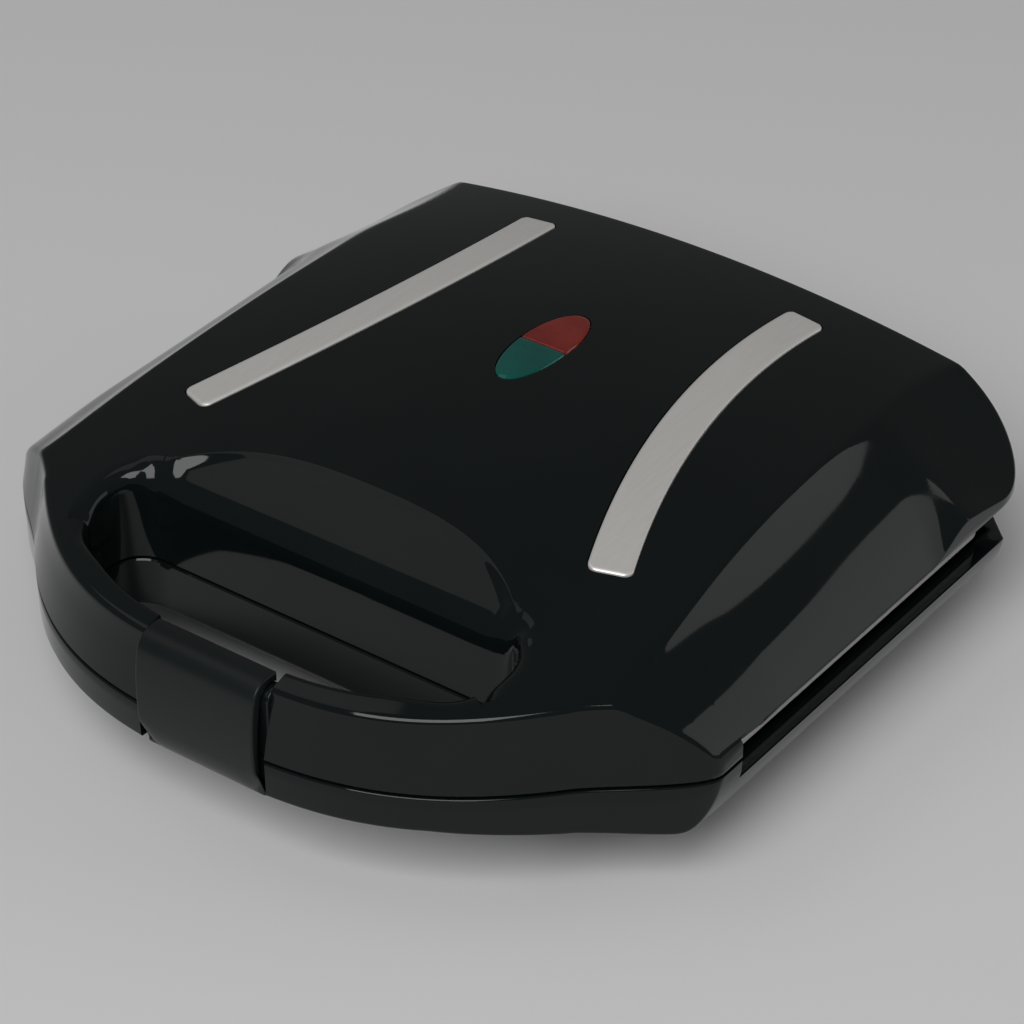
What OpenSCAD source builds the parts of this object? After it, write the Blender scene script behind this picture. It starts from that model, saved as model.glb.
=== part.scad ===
// Two-slice sandwich toaster: a base on four feet, a hinged lid and a swinging latch clip.
// Millimetres, +Z up, the handle towards -Y, resting on z = 0, centred on x = 0.

/* [Body] */
// Overall width
body_w = 235; // [228:1:242]
// Height of the lid's crown above the worktop
lid_top = 78; // [76.5:0.5:80]
// Height of the plane in which the two halves meet
part_z = 36; // [35.5:0.25:37]
// Height of the feet
foot_h = 7; // [6.5:0.25:7.5]
// Distance from the middle of the footprint to the front and to the hinge barrels
half_d = 121; // [119:0.5:123]
// Wall of the mouldings
wall = 2.5; // [2.2:0.1:2.8]
// Gap between the two rims, seen as the seam
seam_gap = 0.8; // [0.6:0.1:1.2]

/* [Handle] */
// Width of the finger opening
finger_w = 135; // [128:1:138]
// Depth of the finger opening
finger_d = 42; // [38:0.5:43]
// Thickness of the handle bar at its middle
bar_t = 10.5; // [10:0.25:11]
// Slope of the scoop behind the finger opening, degrees
scoop_a = 29; // [26:1:31]

/* [Latch] */
// Width of the latch clip
clip_w = 42; // [38:1:46]
// Thickness of the latch clip
clip_t = 2.6; // [2.3:0.1:2.8]
// Radius of the latch pin
latch_pin_r = 1.5; // [1.3:0.1:1.6]

/* [Hinge] */
// Distance of each hinge from the middle
hinge_x = 68; // [62:1:74]
// Radius of the hinge barrels
barrel_r = 5.5; // [5.2:0.1:5.8]
// Radius of the hinge pins
hinge_pin_r = 2; // [1.8:0.1:2.3]
// Radial clearance of the running fits
run_c = 0.06; // [0.04:0.01:0.09]

/* [Plates] */
// Width of the rim left beside the cooking plates
plate_rim = 5.5; // [4.5:0.1:8]
// Depth of a pocket
pocket_h = 12; // [10:0.5:12.5]
// Thickness of the plate
plate_t = 2.6; // [2.4:0.1:3]
// Radius of the heating element's tube
tube_r = 3.2; // [3:0.1:3.3]

/* [Trim] */
// Width of the metal strips
strip_w = 12; // [11:0.5:14]
// Half width of the indicator lens
lens_a = 7.7; // [7:0.1:8.5]
// Half length of the indicator lens
lens_b = 19.4; // [18:0.2:21]

/* [Fasteners] */
// Radius of a plate screw
screw_r = 1.6; // [1.5:0.05:1.8]
// Radius of a small screw
small_r = 1.2; // [1.1:0.05:1.3]
// Radius of the cord inlet's bore
cord_r = 3.6; // [3.4:0.1:3.9]

/* [Hidden] */
$fn = 48;
half_w = body_w / 2;
big = 400;
front_y = 2 - half_d;
axis_y = half_d - barrel_r;
back_y = axis_y - barrel_r - 0.4;
rim_lo = part_z - seam_gap / 2;
rim_hi = part_z + seam_gap / 2;
flange_gap = 0.15;
recess_lo = part_z - 6;
recess_hi = part_z + 6;
recess_y0 = front_y + 73.5;
crown_r = 530;
floor_z = foot_h + wall;

// Outline of the mouldings, seen from above
bow_x = half_w - 27.5;
bow_rise = 36.9;
corner_y = front_y + 65;
back_r = 27;
cut_r = 23.5;

function bow_y(x) = front_y + bow_rise * pow(abs(x) / bow_x, 2.75);
function bez(a, b, c, d, t) =
    pow(1 - t, 3) * a + 3 * t * pow(1 - t, 2) * b + 3 * t * t * (1 - t) * c + t * t * t * d;
function mirrored(p) = [for (i = [len(p) - 1:-1:0]) [-p[i][0], p[i][1]]];
function arc(c, r, a0, a1, n) = [for (i = [0:n]) c + r * [cos(a0 + (a1 - a0) * i / n), sin(a0 + (a1 - a0) * i / n)]];

function outline_half(d, r, n) = concat(
    [for (i = [1:12]) [i * (bow_x - 0.35 * d) / 12, bow_y(i * bow_x / 12) + d * (1 - 0.02 * i)]],
    [for (i = [1:8]) bez(
        [bow_x - 0.35 * d, bow_y(bow_x) + 0.76 * d],
        [bow_x + 6.5 - 0.6 * d, bow_y(bow_x) + 7.2 + 0.8 * d],
        [half_w - d, corner_y - 7.5 + 0.8 * d],
        [half_w - d, corner_y + 0.3 * d], i / 8)],
    arc([half_w - r, back_y - r], r - d, 0, 90, n));
function outline(d, r, n) = concat([[0, front_y + d]], outline_half(d, r, n), mirrored(outline_half(d, r, n)));

// Outline of the finger opening, seen from above
finger_y0 = front_y + bar_t;
finger_y1 = finger_y0 + finger_d;
finger_x = finger_w / 2 - 9.5;
finger_rise = 14.5;

function finger_half(d) = concat(
    [for (i = [1:8]) [i * (finger_x + 0.58 * d) / 8, finger_y0 - d + finger_rise * pow(i / 8, 2.85)]],
    [for (i = [1:8]) bez(
        [finger_x + 0.58 * d, finger_y0 + finger_rise - 0.8 * d],
        [finger_x + 9.8 + d, finger_y0 + finger_rise + 7],
        [finger_x + 14 + d, finger_y1 + d],
        [finger_x - 2, finger_y1 + d], i / 8)]);
function finger(d) = concat([[0, finger_y0 - d]], finger_half(d), mirrored(finger_half(d)));

// Side profile of the lid: a slope from the crest, then a rounding down to the rim
side_r = 14;
side_c = [half_w - side_r, part_z + 4];
slope_p = side_c + side_r * [cos(50), sin(50)] + 13.1 * [-1, 0.82];

function lid_side_half(d) = concat(
    [[half_w - d, rim_hi - 5]],
    arc(side_c, side_r - d, 0, 50, 5),
    [slope_p - d * [0.6, 0.8], slope_p + 14.4 * [-1, 0.69] - d * [0.5, 0.85], slope_p + [-40, 32 - d]]);
function lid_side(d) = concat(lid_side_half(d), mirrored(lid_side_half(d)));

// Bowl of the base: its sides and back are quarter ellipses; its front slopes gently below the handle,
// then falls in a ramp
bowl_x = 28;
bowl_y = 25;
handle_z = part_z - 10.7;
corner_z = part_z - 15.5;
ramp_y0 = front_y + 57;
ramp_y1 = front_y + 86;

function base_side_half(d) = concat(
    [for (i = [0:9]) [half_w - bowl_x + (bowl_x - d) * sin(i * 10), part_z - (part_z - foot_h - d) * cos(i * 10)]],
    [[half_w - d, part_z + 5]]);
function base_side(d) = concat(base_side_half(d), mirrored(base_side_half(d)));
function ramp_z(y) = foot_h + (corner_z - foot_h) * (1 + cos(180 * (y - ramp_y0) / (ramp_y1 - ramp_y0))) / 2;
function base_long(d) = concat(
    [[front_y - 9, part_z + 5], [front_y - 9, handle_z + d], [front_y + 14, handle_z + d]],
    [for (i = [0:8]) [ramp_y0 + i * (ramp_y1 - ramp_y0) / 8 + d * sin(22.5 * i) * 0.6,
        ramp_z(ramp_y0 + i * (ramp_y1 - ramp_y0) / 8) + d * (1 - 0.25 * sin(22.5 * i))]],
    [for (i = [0:9]) [back_y - bowl_y + (bowl_y - d) * sin(i * 10), part_z - (part_z - foot_h - d) * cos(i * 10)]],
    [[back_y - d, part_z + 5]]);

// Scoop: a plane that falls from the crown towards the finger opening
scoop_y = finger_y1 + 21;
lens_y = (scoop_y + back_y) / 2 - 2.05;
crown_y = lens_y + 3;
scoop_z = lid_top - pow(scoop_y - crown_y, 2) / (2 * crown_r);

function scoop_edge(x) = scoop_y - 6.7 * pow(abs(x) / 44, 3.3);
function scoop_half() = [for (i = [1:8]) [i * 8, scoop_edge(i * 8)]];

// Decks round the plates, which step away from the parting plane behind this line
plate_w = body_w - 2 * plate_rim;
plate_y0 = recess_y0 - 3.5;
plate_y1 = back_y - 24.6;
plate_d = plate_y1 - plate_y0;
plate_y = (plate_y0 + plate_y1) / 2;
deck_gap = 0.5;
deck_x = plate_w / 2 + deck_gap;
deck_y0 = plate_y - plate_d / 2 - deck_gap;
block_w = plate_w - 22;
block_d = plate_d - 8;
block_r = 8;

// Stack below the parting plane, measured from it and mirrored for the lid
flange_z = flange_gap + 2.85;
block_z = flange_gap + pocket_h + plate_t;
tube_z = block_z + tube_r + 0.02;
strap_z = tube_z + tube_r + 1;
reflector_z = strap_z + 1.3;
reflector_t = 0.8;
screw_x = plate_w / 2 - 6.5;
screw_y = plate_d / 2 - 6.5;
post_r = 3.8;
post_x = plate_w / 2 - 67;
post_y = plate_d / 2 - 41;
leg_x = plate_w / 2 - 40;
leg_y1 = plate_y + plate_d / 2 - 15;
leg_y0 = plate_y - plate_d / 2 + 35;
bend_r = 20;
tray_w = block_w - 10;
tray_d = block_d - 14;
tray_r = 6;

// Share of its size that the tray of the lid keeps, by the reach of the crown at its height
tray_reach = sqrt(2 * crown_r * (lid_top - wall - 1.7 - part_z - reflector_z - reflector_t));
lid_tray = min(1, tray_reach / norm([tray_w / 2, abs(crown_y - plate_y) + tray_d / 2]));

// Latch
pivot_y = front_y + 6.5;
pivot_z = lid_top - 25.5;
neck_r = 4;
clip_gap = 1.5;
bay_w = clip_w + 2 * clip_gap;
clip_out = -half_d;
lip_z = handle_z - 0.4;

// Strips
strip_c = [348, lens_y + 50];
strip_ri = strip_c[0] - 40 - strip_w;
strip_ro = strip_c[0] - 40;
strip_a0 = 180 - 2.4;
strip_a1 = 180 + 22.8;

// Cord inlet and hinge lead
cord_x = 36;
cord_z = part_z - 15;
sleeve_r = 2.2;
lead_x = 32;
lead_z = 9.5;

black = [0.045, 0.055, 0.055];
steel = [0.62, 0.62, 0.6];
silver = [0.68, 0.66, 0.62];
grey = [0.2, 0.2, 0.21];
cream = [0.85, 0.82, 0.74];

// Helpers
module along_x(x0, x1) {
    translate([x0, 0, 0])
        rotate([90, 0, 90])
            linear_extrude(x1 - x0)
                children();
}

module along_y(y0, y1) {
    translate([0, y1, 0])
        rotate([90, 0, 0])
            linear_extrude(y1 - y0)
                children();
}

module rod_x(x0, x1, y, z, r) {
    translate([x0, y, z])
        rotate([0, 90, 0])
            cylinder(h = x1 - x0, r = r);
}

module rod_y(x, y0, y1, z, r) {
    translate([x, y0, z])
        rotate([-90, 0, 0])
            cylinder(h = y1 - y0, r = r);
}

module rod_z(x, y, z0, z1, r) {
    translate([x, y, z0])
        cylinder(h = z1 - z0, r = r);
}

module block(x0, x1, y0, y1, z0, z1) {
    translate([x0, y0, z0])
        cube([x1 - x0, y1 - y0, z1 - z0]);
}

module lower() {
    translate([0, 0, part_z])
        children();
}

module upper() {
    translate([0, 0, part_z])
        mirror([0, 0, 1])
            children();
}

module crown(d, n = 360) {
    translate([0, crown_y, lid_top - crown_r])
        rotate([90, 0, 0])
            sphere(r = crown_r - d, $fn = n);
}

module at_corners(x, y, cy) {
    for (sx = [-1, 1])
        for (sy = [-1, 1])
            translate([sx * x, cy + sy * y, 0])
                children();
}

module wire(points, r) {
    for (i = [0:len(points) - 2]) {
        step = points[i + 1] - points[i];
        far = norm(step);
        translate(points[i])
            rotate([0, acos(step[2] / far), atan2(step[1], step[0])])
                cylinder(h = far, r = r, $fn = 24);
        if (i > 0)
            translate(points[i])
                sphere(r = r * 1.1, $fn = 24);
    }
}

// Outer shapes of the two mouldings
module lid_form(d, z0) {
    intersection() {
        translate([0, 0, z0])
            linear_extrude(lid_top)
                polygon(outline(d, back_r, 7));
        along_y(-big, big)
            polygon(lid_side(d));
        crown(d);
    }
}

module base_form(d, z1) {
    intersection() {
        translate([0, 0, z1 - 60])
            linear_extrude(60)
                polygon(outline(d, cut_r, 1));
        along_y(-big, big)
            polygon(base_side(d));
        along_x(-big, big)
            polygon(base_long(d));
    }
}

module finger_cut() {
    linear_extrude(big, center = true)
        polygon(finger(0));
}

// Space of the plates between the two decks, open at the sides and the back
module plate_space(z0, z1) {
    translate([0, 0, z0])
        linear_extrude(z1 - z0)
            polygon([[-big, recess_y0], [-deck_x, recess_y0], [-deck_x, deck_y0], [deck_x, deck_y0],
                [deck_x, recess_y0], [big, recess_y0], [big, big], [-big, big]]);
}

module latch_bay(z0, z1) {
    block(-bay_w / 2, bay_w / 2, front_y - 9, pivot_y + neck_r + 1, z0, z1);
}

// Cooking plates, drawn below the parting plane
pocket_x0 = 5.5;
pocket_x1 = plate_w / 2 - 12;
pocket_y = plate_d / 2 - 7;
ridge = 9;

module pocket(a, b, c) {
    m = (a + b + c) / 3;
    low = [for (p = [a, b, c]) m + 0.74 * (p - m)];
    polyhedron(
        points = concat(
            [for (p = low) [p[0], p[1], -flange_gap - pocket_h]],
            [for (p = [a, b, c]) [p[0], p[1], 1]]),
        faces = [[0, 1, 2], [5, 4, 3], [0, 3, 4, 1], [1, 4, 5, 2], [2, 5, 3, 0]]);
}

module slab(w, d, r, z0, z1) {
    translate([0, plate_y, z0])
        linear_extrude(z1 - z0)
            union() {
                square([w - 2 * r, d], center = true);
                square([w, d - 2 * r], center = true);
                for (sx = [-1, 1])
                    for (sy = [-1, 1])
                        translate([sx * (w / 2 - r), sy * (d / 2 - r)])
                            circle(r);
            }
}

module plate(skirt) {
    difference() {
        union() {
            slab(plate_w, plate_d, 8, -flange_gap - skirt, -flange_gap);
            slab(block_w, block_d, block_r, -block_z, -flange_z + 1);
        }
        if (skirt > flange_z)
            difference() {
                slab(plate_w - 5, plate_d - 5, 3, -flange_gap - skirt - 1, -flange_z);
                slab(block_w, block_d, block_r, -block_z, -flange_z + 1);
            }
        for (s = [-1, 1]) {
            translate([0, plate_y, 0])
                mirror([s < 0 ? 1 : 0, 0, 0]) {
                    pocket([pocket_x0, -pocket_y], [pocket_x1 - ridge, -pocket_y], [pocket_x0, pocket_y - ridge]);
                    pocket([pocket_x1, pocket_y], [pocket_x0 + ridge, pocket_y], [pocket_x1, -pocket_y + ridge]);
                }
        }
        at_corners(screw_x, screw_y, plate_y) {
            rod_z(0, 0, -10, 1, screw_r + 0.2);
            rod_z(0, 0, -flange_gap - 1.6, 1, screw_r * 2);
        }
        heater_feet()
            rod_z(0, 0, -block_z - 1, -block_z + 2, small_r);
        at_corners(post_x, post_y, plate_y)
            rod_z(0, 0, -block_z - 1, -block_z + 1, 3);
    }
}

module plate_screws() {
    at_corners(screw_x, screw_y, plate_y) {
        rod_z(0, 0, -flange_gap - 12, -flange_gap - 1.6, screw_r);
        difference() {
            rod_z(0, 0, -flange_gap - 1.6, -flange_gap - 0.1, screw_r * 2 - 0.2);
            block(-0.4, 0.4, -2, 2, -flange_gap - 0.7, 0);
            block(-2, 2, -0.4, 0.4, -flange_gap - 0.7, 0);
        }
    }
}

// Heating element: two legs and a front run, with its cold ends at the back
module heater() {
    for (s = [-1, 1]) {
        rod_y(s * leg_x, leg_y0 + bend_r, leg_y1, -tube_z, tube_r);
        translate([s * (leg_x - bend_r), leg_y0 + bend_r, -tube_z])
            rotate([0, 0, s > 0 ? 270 : 180])
                rotate_extrude(angle = 90)
                    translate([bend_r, 0])
                        circle(tube_r);
        rod_y(s * leg_x, leg_y1, leg_y1 + 7, -tube_z, tube_r * 0.45);
    }
    rod_x(bend_r - leg_x, leg_x - bend_r, leg_y0, -tube_z, tube_r);
}

module at_clamps() {
    for (s = [-1, 1]) {
        translate([s * leg_x, leg_y1 - 24, 0])
            children();
        translate([s * (leg_x - 46), leg_y0, 0])
            rotate([0, 0, 90])
                children();
    }
}

module heater_feet() {
    at_clamps()
        for (s = [-1, 1])
            translate([s * (tube_r + 5), 0, 0])
                children();
}

module clamps() {
    at_clamps()
        difference() {
            union() {
                block(-tube_r - 8.5, tube_r + 8.5, -4, 4, -block_z - 1, -block_z);
                block(-tube_r - 1, tube_r + 1, -4, 4, -tube_z, -block_z);
                rod_y(0, -4, 4, -tube_z, tube_r + 1);
            }
            rod_y(0, -5, 5, -tube_z, tube_r);
            block(-tube_r, tube_r, -5, 5, -tube_z, 0);
            for (s = [-1, 1])
                rod_z(s * (tube_r + 5), 0, -block_z - 2, 0, small_r + 0.1);
        }
}

module clamp_screws() {
    heater_feet() {
        rod_z(0, 0, -block_z - 1, -block_z + 1.9, small_r);
        rod_z(0, 0, -block_z - 2.4, -block_z - 1, small_r * 1.9);
    }
}

// Heat reflector: a tray with an upturned rim
module reflector(k) {
    difference() {
        slab(k * tray_w, k * tray_d, tray_r, -reflector_z - reflector_t, -reflector_z + 2);
        slab(k * tray_w - 2 * reflector_t, k * tray_d - 2 * reflector_t, tray_r - reflector_t, -reflector_z, 0);
        at_corners(post_x, post_y, plate_y)
            rod_z(0, 0, -reflector_z - 2, 0, small_r + 0.1);
    }
}

module reflector_screws() {
    at_corners(post_x, post_y, plate_y) {
        rod_z(0, 0, -reflector_z - reflector_t - 1.6, -reflector_z, small_r);
        rod_z(0, 0, -reflector_z, -reflector_z + 1.2, small_r * 2);
    }
}

// Base
module base_shell() {
    color(black)
        difference() {
            union() {
                difference() {
                    base_form(0, rim_lo);
                    difference() {
                        union() {
                            intersection() {
                                base_form(wall, recess_lo - wall);
                                block(-big, big, finger_y1 + wall, big, 0, big);
                            }
                            intersection() {
                                base_form(wall, rim_lo - wall);
                                block(-big, big, finger_y1 + wall, deck_y0 - wall, 0, big);
                            }
                            slab(block_w + 2 * deck_gap, block_d + 2 * deck_gap, block_r, recess_lo - 5, part_z);
                            plate_space(recess_lo, part_z);
                        }
                        base_posts();
                    }
                }
                for (s = [-1, 1])
                    for (t = [-1, 1])
                        base_barrel(s * hinge_x + t * 12 - 5.7, s * hinge_x + t * 12 + 5.7, part_z - 12);
                base_barrel(-22, -0.2, part_z - 12);
                rod_y(cord_x, back_y - 12, back_y - 0.5, cord_z, cord_r + 5);
            }
            finger_cut();
            difference() {
                latch_bay(0, rim_lo + 1);
                block(-bay_w / 2 - 1, bay_w / 2 + 1, pivot_y - neck_r, pivot_y + neck_r + 3, handle_z, rim_lo);
            }
            translate([0, pivot_y - neck_r, handle_z])
                rotate([45, 0, 0])
                    cube([bay_w, 2.8, 2.8], center = true);
            for (s = [-1, 1])
                rod_x(s * hinge_x - 18, s * hinge_x + 18, axis_y, part_z, hinge_pin_r);
            for (s = [-1, 1])
                rod_x(s * hinge_x - 6.3, s * hinge_x + 6.3, axis_y, part_z, barrel_r + 0.4);
            rod_x(-lead_x, 0, axis_y, part_z, sleeve_r);
            rod_y(-lead_x, back_y - 13, axis_y, part_z - lead_z, sleeve_r);
            rod_y(cord_x, back_y - 14, back_y + 1, cord_z, cord_r + 2);
            at_corners(foot_x, foot_y, foot_c)
                rod_z(0, 0, 0, floor_z + 1, foot_neck_r);
            at_corners(screw_x, screw_y, plate_y)
                rod_z(0, 0, part_z - flange_gap - 12.5, part_z, screw_r);
            at_corners(post_x, post_y, plate_y)
                rod_z(0, 0, part_z - reflector_z - reflector_t - 2, part_z, small_r);
            for (s = [-1, 1]) {
                rod_z(cord_x + s * clamp_x, clamp_y, clamp_z - 6, part_z - 4, small_r);
                rod_z(s * block_screw, terminal_y, terminal_z - 5, part_z - 4, small_r);
            }
        }
}

foot_r = 8;
foot_neck_r = 3;
foot_x = half_w - bowl_x - foot_r - 5;
foot_y0 = ramp_y1 + 7;
foot_y1 = back_y - bowl_y - 18.6;
foot_y = (foot_y1 - foot_y0) / 2;
foot_c = (foot_y1 + foot_y0) / 2;
clamp_x = cord_r + 5;
clamp_y = back_y - 17;
clamp_z = cord_z + cord_r + 0.2;
clamp_t = 1.6;
terminal_y = back_y - 18;
terminal_z = part_z - 19;
block_screw = 15;

// Posts of the base, which stand in its cavity
module base_posts() {
    at_corners(screw_x, screw_y, plate_y)
        rod_z(0, 0, 0, part_z - flange_z, post_r);
    at_corners(post_x, post_y, plate_y)
        rod_z(0, 0, 0, part_z - reflector_z - reflector_t, 4);
    for (s = [-1, 1])
        rod_z(cord_x + s * clamp_x, clamp_y, 0, clamp_z, 3.2);
    block(-19, 19, terminal_y - 4, terminal_y + 4, 0, terminal_z);
}

module base_barrel(x0, x1, z0) {
    rod_x(x0, x1, axis_y, part_z, barrel_r);
    intersection() {
        block(x0, x1, back_y - 8, axis_y, z0, part_z - 0.5);
        along_x(x0, x1)
            polygon([[back_y - 8, z0], [back_y - 3, z0], [axis_y + 1, part_z - barrel_r + 0.8], [axis_y + 1, part_z], [back_y - 8, part_z]]);
    }
}

module feet() {
    color([0.03, 0.03, 0.03])
        at_corners(foot_x, foot_y, foot_c) {
            rod_z(0, 0, 0, foot_h, foot_r);
            rod_z(0, 0, foot_h, floor_z, foot_neck_r);
            rod_z(0, 0, floor_z, floor_z + 0.8, foot_neck_r + 1.4);
        }
}

module cord_gland() {
    color([0.06, 0.06, 0.06])
        difference() {
            union() {
                rod_y(cord_x, back_y - 14, back_y + 4, cord_z, cord_r + 2);
                rod_y(cord_x, back_y - 0.5, back_y + 1.5, cord_z, cord_r + 4.4);
                rod_y(cord_x, back_y - 14, back_y - 12, cord_z, cord_r + 2.7);
            }
            rod_y(cord_x, back_y - 20, back_y + 9, cord_z, cord_r);
        }
}

module cord_clamp() {
    color(grey)
        difference() {
            block(cord_x - clamp_x - 3, cord_x + clamp_x + 3, clamp_y - 3, clamp_y + 3, clamp_z, clamp_z + clamp_t);
            for (s = [-1, 1])
                rod_z(cord_x + s * clamp_x, clamp_y, clamp_z - 1, clamp_z + 3, small_r + 0.1);
        }
}

module cord_clamp_screws() {
    color(steel)
        for (s = [-1, 1]) {
            rod_z(cord_x + s * clamp_x, clamp_y, clamp_z - 5, clamp_z + clamp_t, small_r);
            rod_z(cord_x + s * clamp_x, clamp_y, clamp_z + clamp_t, clamp_z + clamp_t + 1, small_r * 1.9);
        }
}

module terminal_block() {
    color(cream)
        difference() {
            block(-18, 18, terminal_y - 6, terminal_y + 6, terminal_z, terminal_z + 9);
            for (s = [-1, 0, 1]) {
                rod_y(s * 8, terminal_y - 7, terminal_y + 7, terminal_z + 4, 1.7);
                rod_z(s * 8, terminal_y, terminal_z + 4, terminal_z + 10, 1.7);
            }
            for (s = [-1, 1])
                rod_z(s * block_screw, terminal_y, terminal_z - 1, terminal_z + 10, small_r + 0.1);
        }
}

module terminal_screws() {
    color(steel)
        for (s = [-1, 1]) {
            rod_z(s * block_screw, terminal_y, terminal_z - 4, terminal_z + 9, small_r);
            rod_z(s * block_screw, terminal_y, terminal_z + 9, terminal_z + 10.2, small_r * 1.9);
        }
}

module lower_cooking_plate() {
    color(grey)
        lower()
            plate(flange_z - flange_gap);
}

module lower_plate_screws() {
    color(steel)
        lower()
            plate_screws();
}

module lower_heater() {
    color(steel)
        lower()
            heater();
}

module lower_heater_clamps() {
    color(steel)
        lower()
            clamps();
}

module lower_clamp_screws() {
    color(steel)
        lower()
            clamp_screws();
}

module lower_reflector() {
    color(silver)
        lower()
            reflector(1);
}

module lower_reflector_screws() {
    color(steel)
        lower()
            reflector_screws();
}

// Thermal fuse: a sleeve under a clip on the underside of the lower plate
fuse_r = 2.2;
fuse_z = block_z + fuse_r + 0.02;

module thermal_fuse() {
    color(cream)
        lower() {
            rod_x(-11, 11, plate_y + 8, -fuse_z, fuse_r);
            rod_x(-17, 17, plate_y + 8, -fuse_z, 0.6);
        }
}

module fuse_clip() {
    color(steel)
        lower()
            difference() {
                union() {
                    block(-3, 3, plate_y, plate_y + 8, -block_z - 1, -block_z);
                    rod_x(-3, 3, plate_y + 8, -fuse_z, fuse_r + 0.8);
                    block(-3, 3, plate_y + 7.2 - fuse_r, plate_y + 8, -fuse_z, -block_z);
                }
                rod_x(-4, 4, plate_y + 8, -fuse_z, fuse_r);
                block(-4, 4, plate_y + 8, plate_y + 14, -fuse_z, 0);
                block(-4, 4, plate_y + 8 - fuse_r, plate_y + 8, -fuse_z, -block_z - 0.02);
                block(-4, 4, plate_y - 1, plate_y + 14, -block_z, 0);
            }
}

module base_wiring() {
    color([0.75, 0.15, 0.1])
        for (s = [-1, 1]) {
            wire([[s * 8, terminal_y - 1, terminal_z + 4],
                [s * 8, terminal_y - 8, terminal_z + 4],
                [s * (leg_x - 6), terminal_y - 8, part_z - tube_z],
                [s * leg_x, leg_y1 + 10, part_z - tube_z],
                [s * leg_x, leg_y1 + 7.02, part_z - tube_z]], 1.1);
        }
}

module base_lead_sleeve() {
    color([0.12, 0.12, 0.12])
        wire([[-lead_x, back_y - 12, part_z - lead_z],
            [-lead_x, axis_y, part_z - lead_z],
            [-lead_x, axis_y, part_z],
            [-0.15, axis_y, part_z]], sleeve_r);
}

module hinge_pins() {
    color(steel)
        for (s = [-1, 1])
            rod_x(s * hinge_x - 17.6, s * hinge_x + 17.6, axis_y, part_z, hinge_pin_r);
}

// Lid
module strip_flat(d) {
    translate(strip_c)
        intersection() {
            difference() {
                circle(strip_ro + d);
                circle(strip_ri - d);
            }
            polygon([[0, 0],
                500 * [cos(strip_a0 - d * 0.19), sin(strip_a0 - d * 0.19)],
                500 * [cos(strip_a1 + d * 0.19), sin(strip_a1 + d * 0.19)]]);
        }
}

module at_studs() {
    for (a = [strip_a0 + 3, (strip_a0 + strip_a1) / 2, strip_a1 - 3])
        translate(strip_c + (strip_ri + strip_ro) / 2 * [cos(a), sin(a)])
            children();
}

module strip() {
    intersection() {
        union() {
            translate([0, 0, part_z])
                linear_extrude(lid_top)
                    strip_flat(0);
        }
        crown(-0.5);
        difference() {
            translate([0, 0, part_z])
                cylinder(h = lid_top, r = big);
            crown(1);
        }
    }
}

module strip_with_studs() {
    strip();
    intersection() {
        at_studs()
            rod_z(0, 0, stud_z, lid_top, small_r);
        crown(0.8);
    }
}

stud_z = lid_top - 14;

module push_nut() {
    difference() {
        cylinder(h = 0.8, r = 4);
        translate([0, 0, -1])
            cylinder(h = 3, r = small_r);
    }
}

module ellipse_of(d) {
    translate([0, lens_y])
        polygon([for (i = [0:35]) [(lens_a + d) * cos(i * 10), (lens_b + d) * sin(i * 10)]]);
}

module lid_posts() {
    at_corners(screw_x, screw_y, plate_y)
        rod_z(0, 0, part_z + flange_z, lid_top, post_r);
    at_corners(post_x, post_y, plate_y)
        rod_z(0, 0, part_z + reflector_z + reflector_t, lid_top, 4);
    for (s = [-1, 1])
        rod_z(s * holder_x, lens_y, holder_z, lid_top, 3);
}

holder_x = 16;
holder_z = lid_top - wall - 3.2;

module lid_barrel(x0, x1) {
    rod_x(x0, x1, axis_y, part_z, barrel_r);
    along_x(x0, x1)
        polygon([[back_y - 4, rim_hi], [axis_y, part_z + 0.5], [axis_y + 1, part_z + barrel_r - 0.8], [back_y - 1, part_z + 13], [back_y - 4, part_z + 13]]);
}

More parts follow.
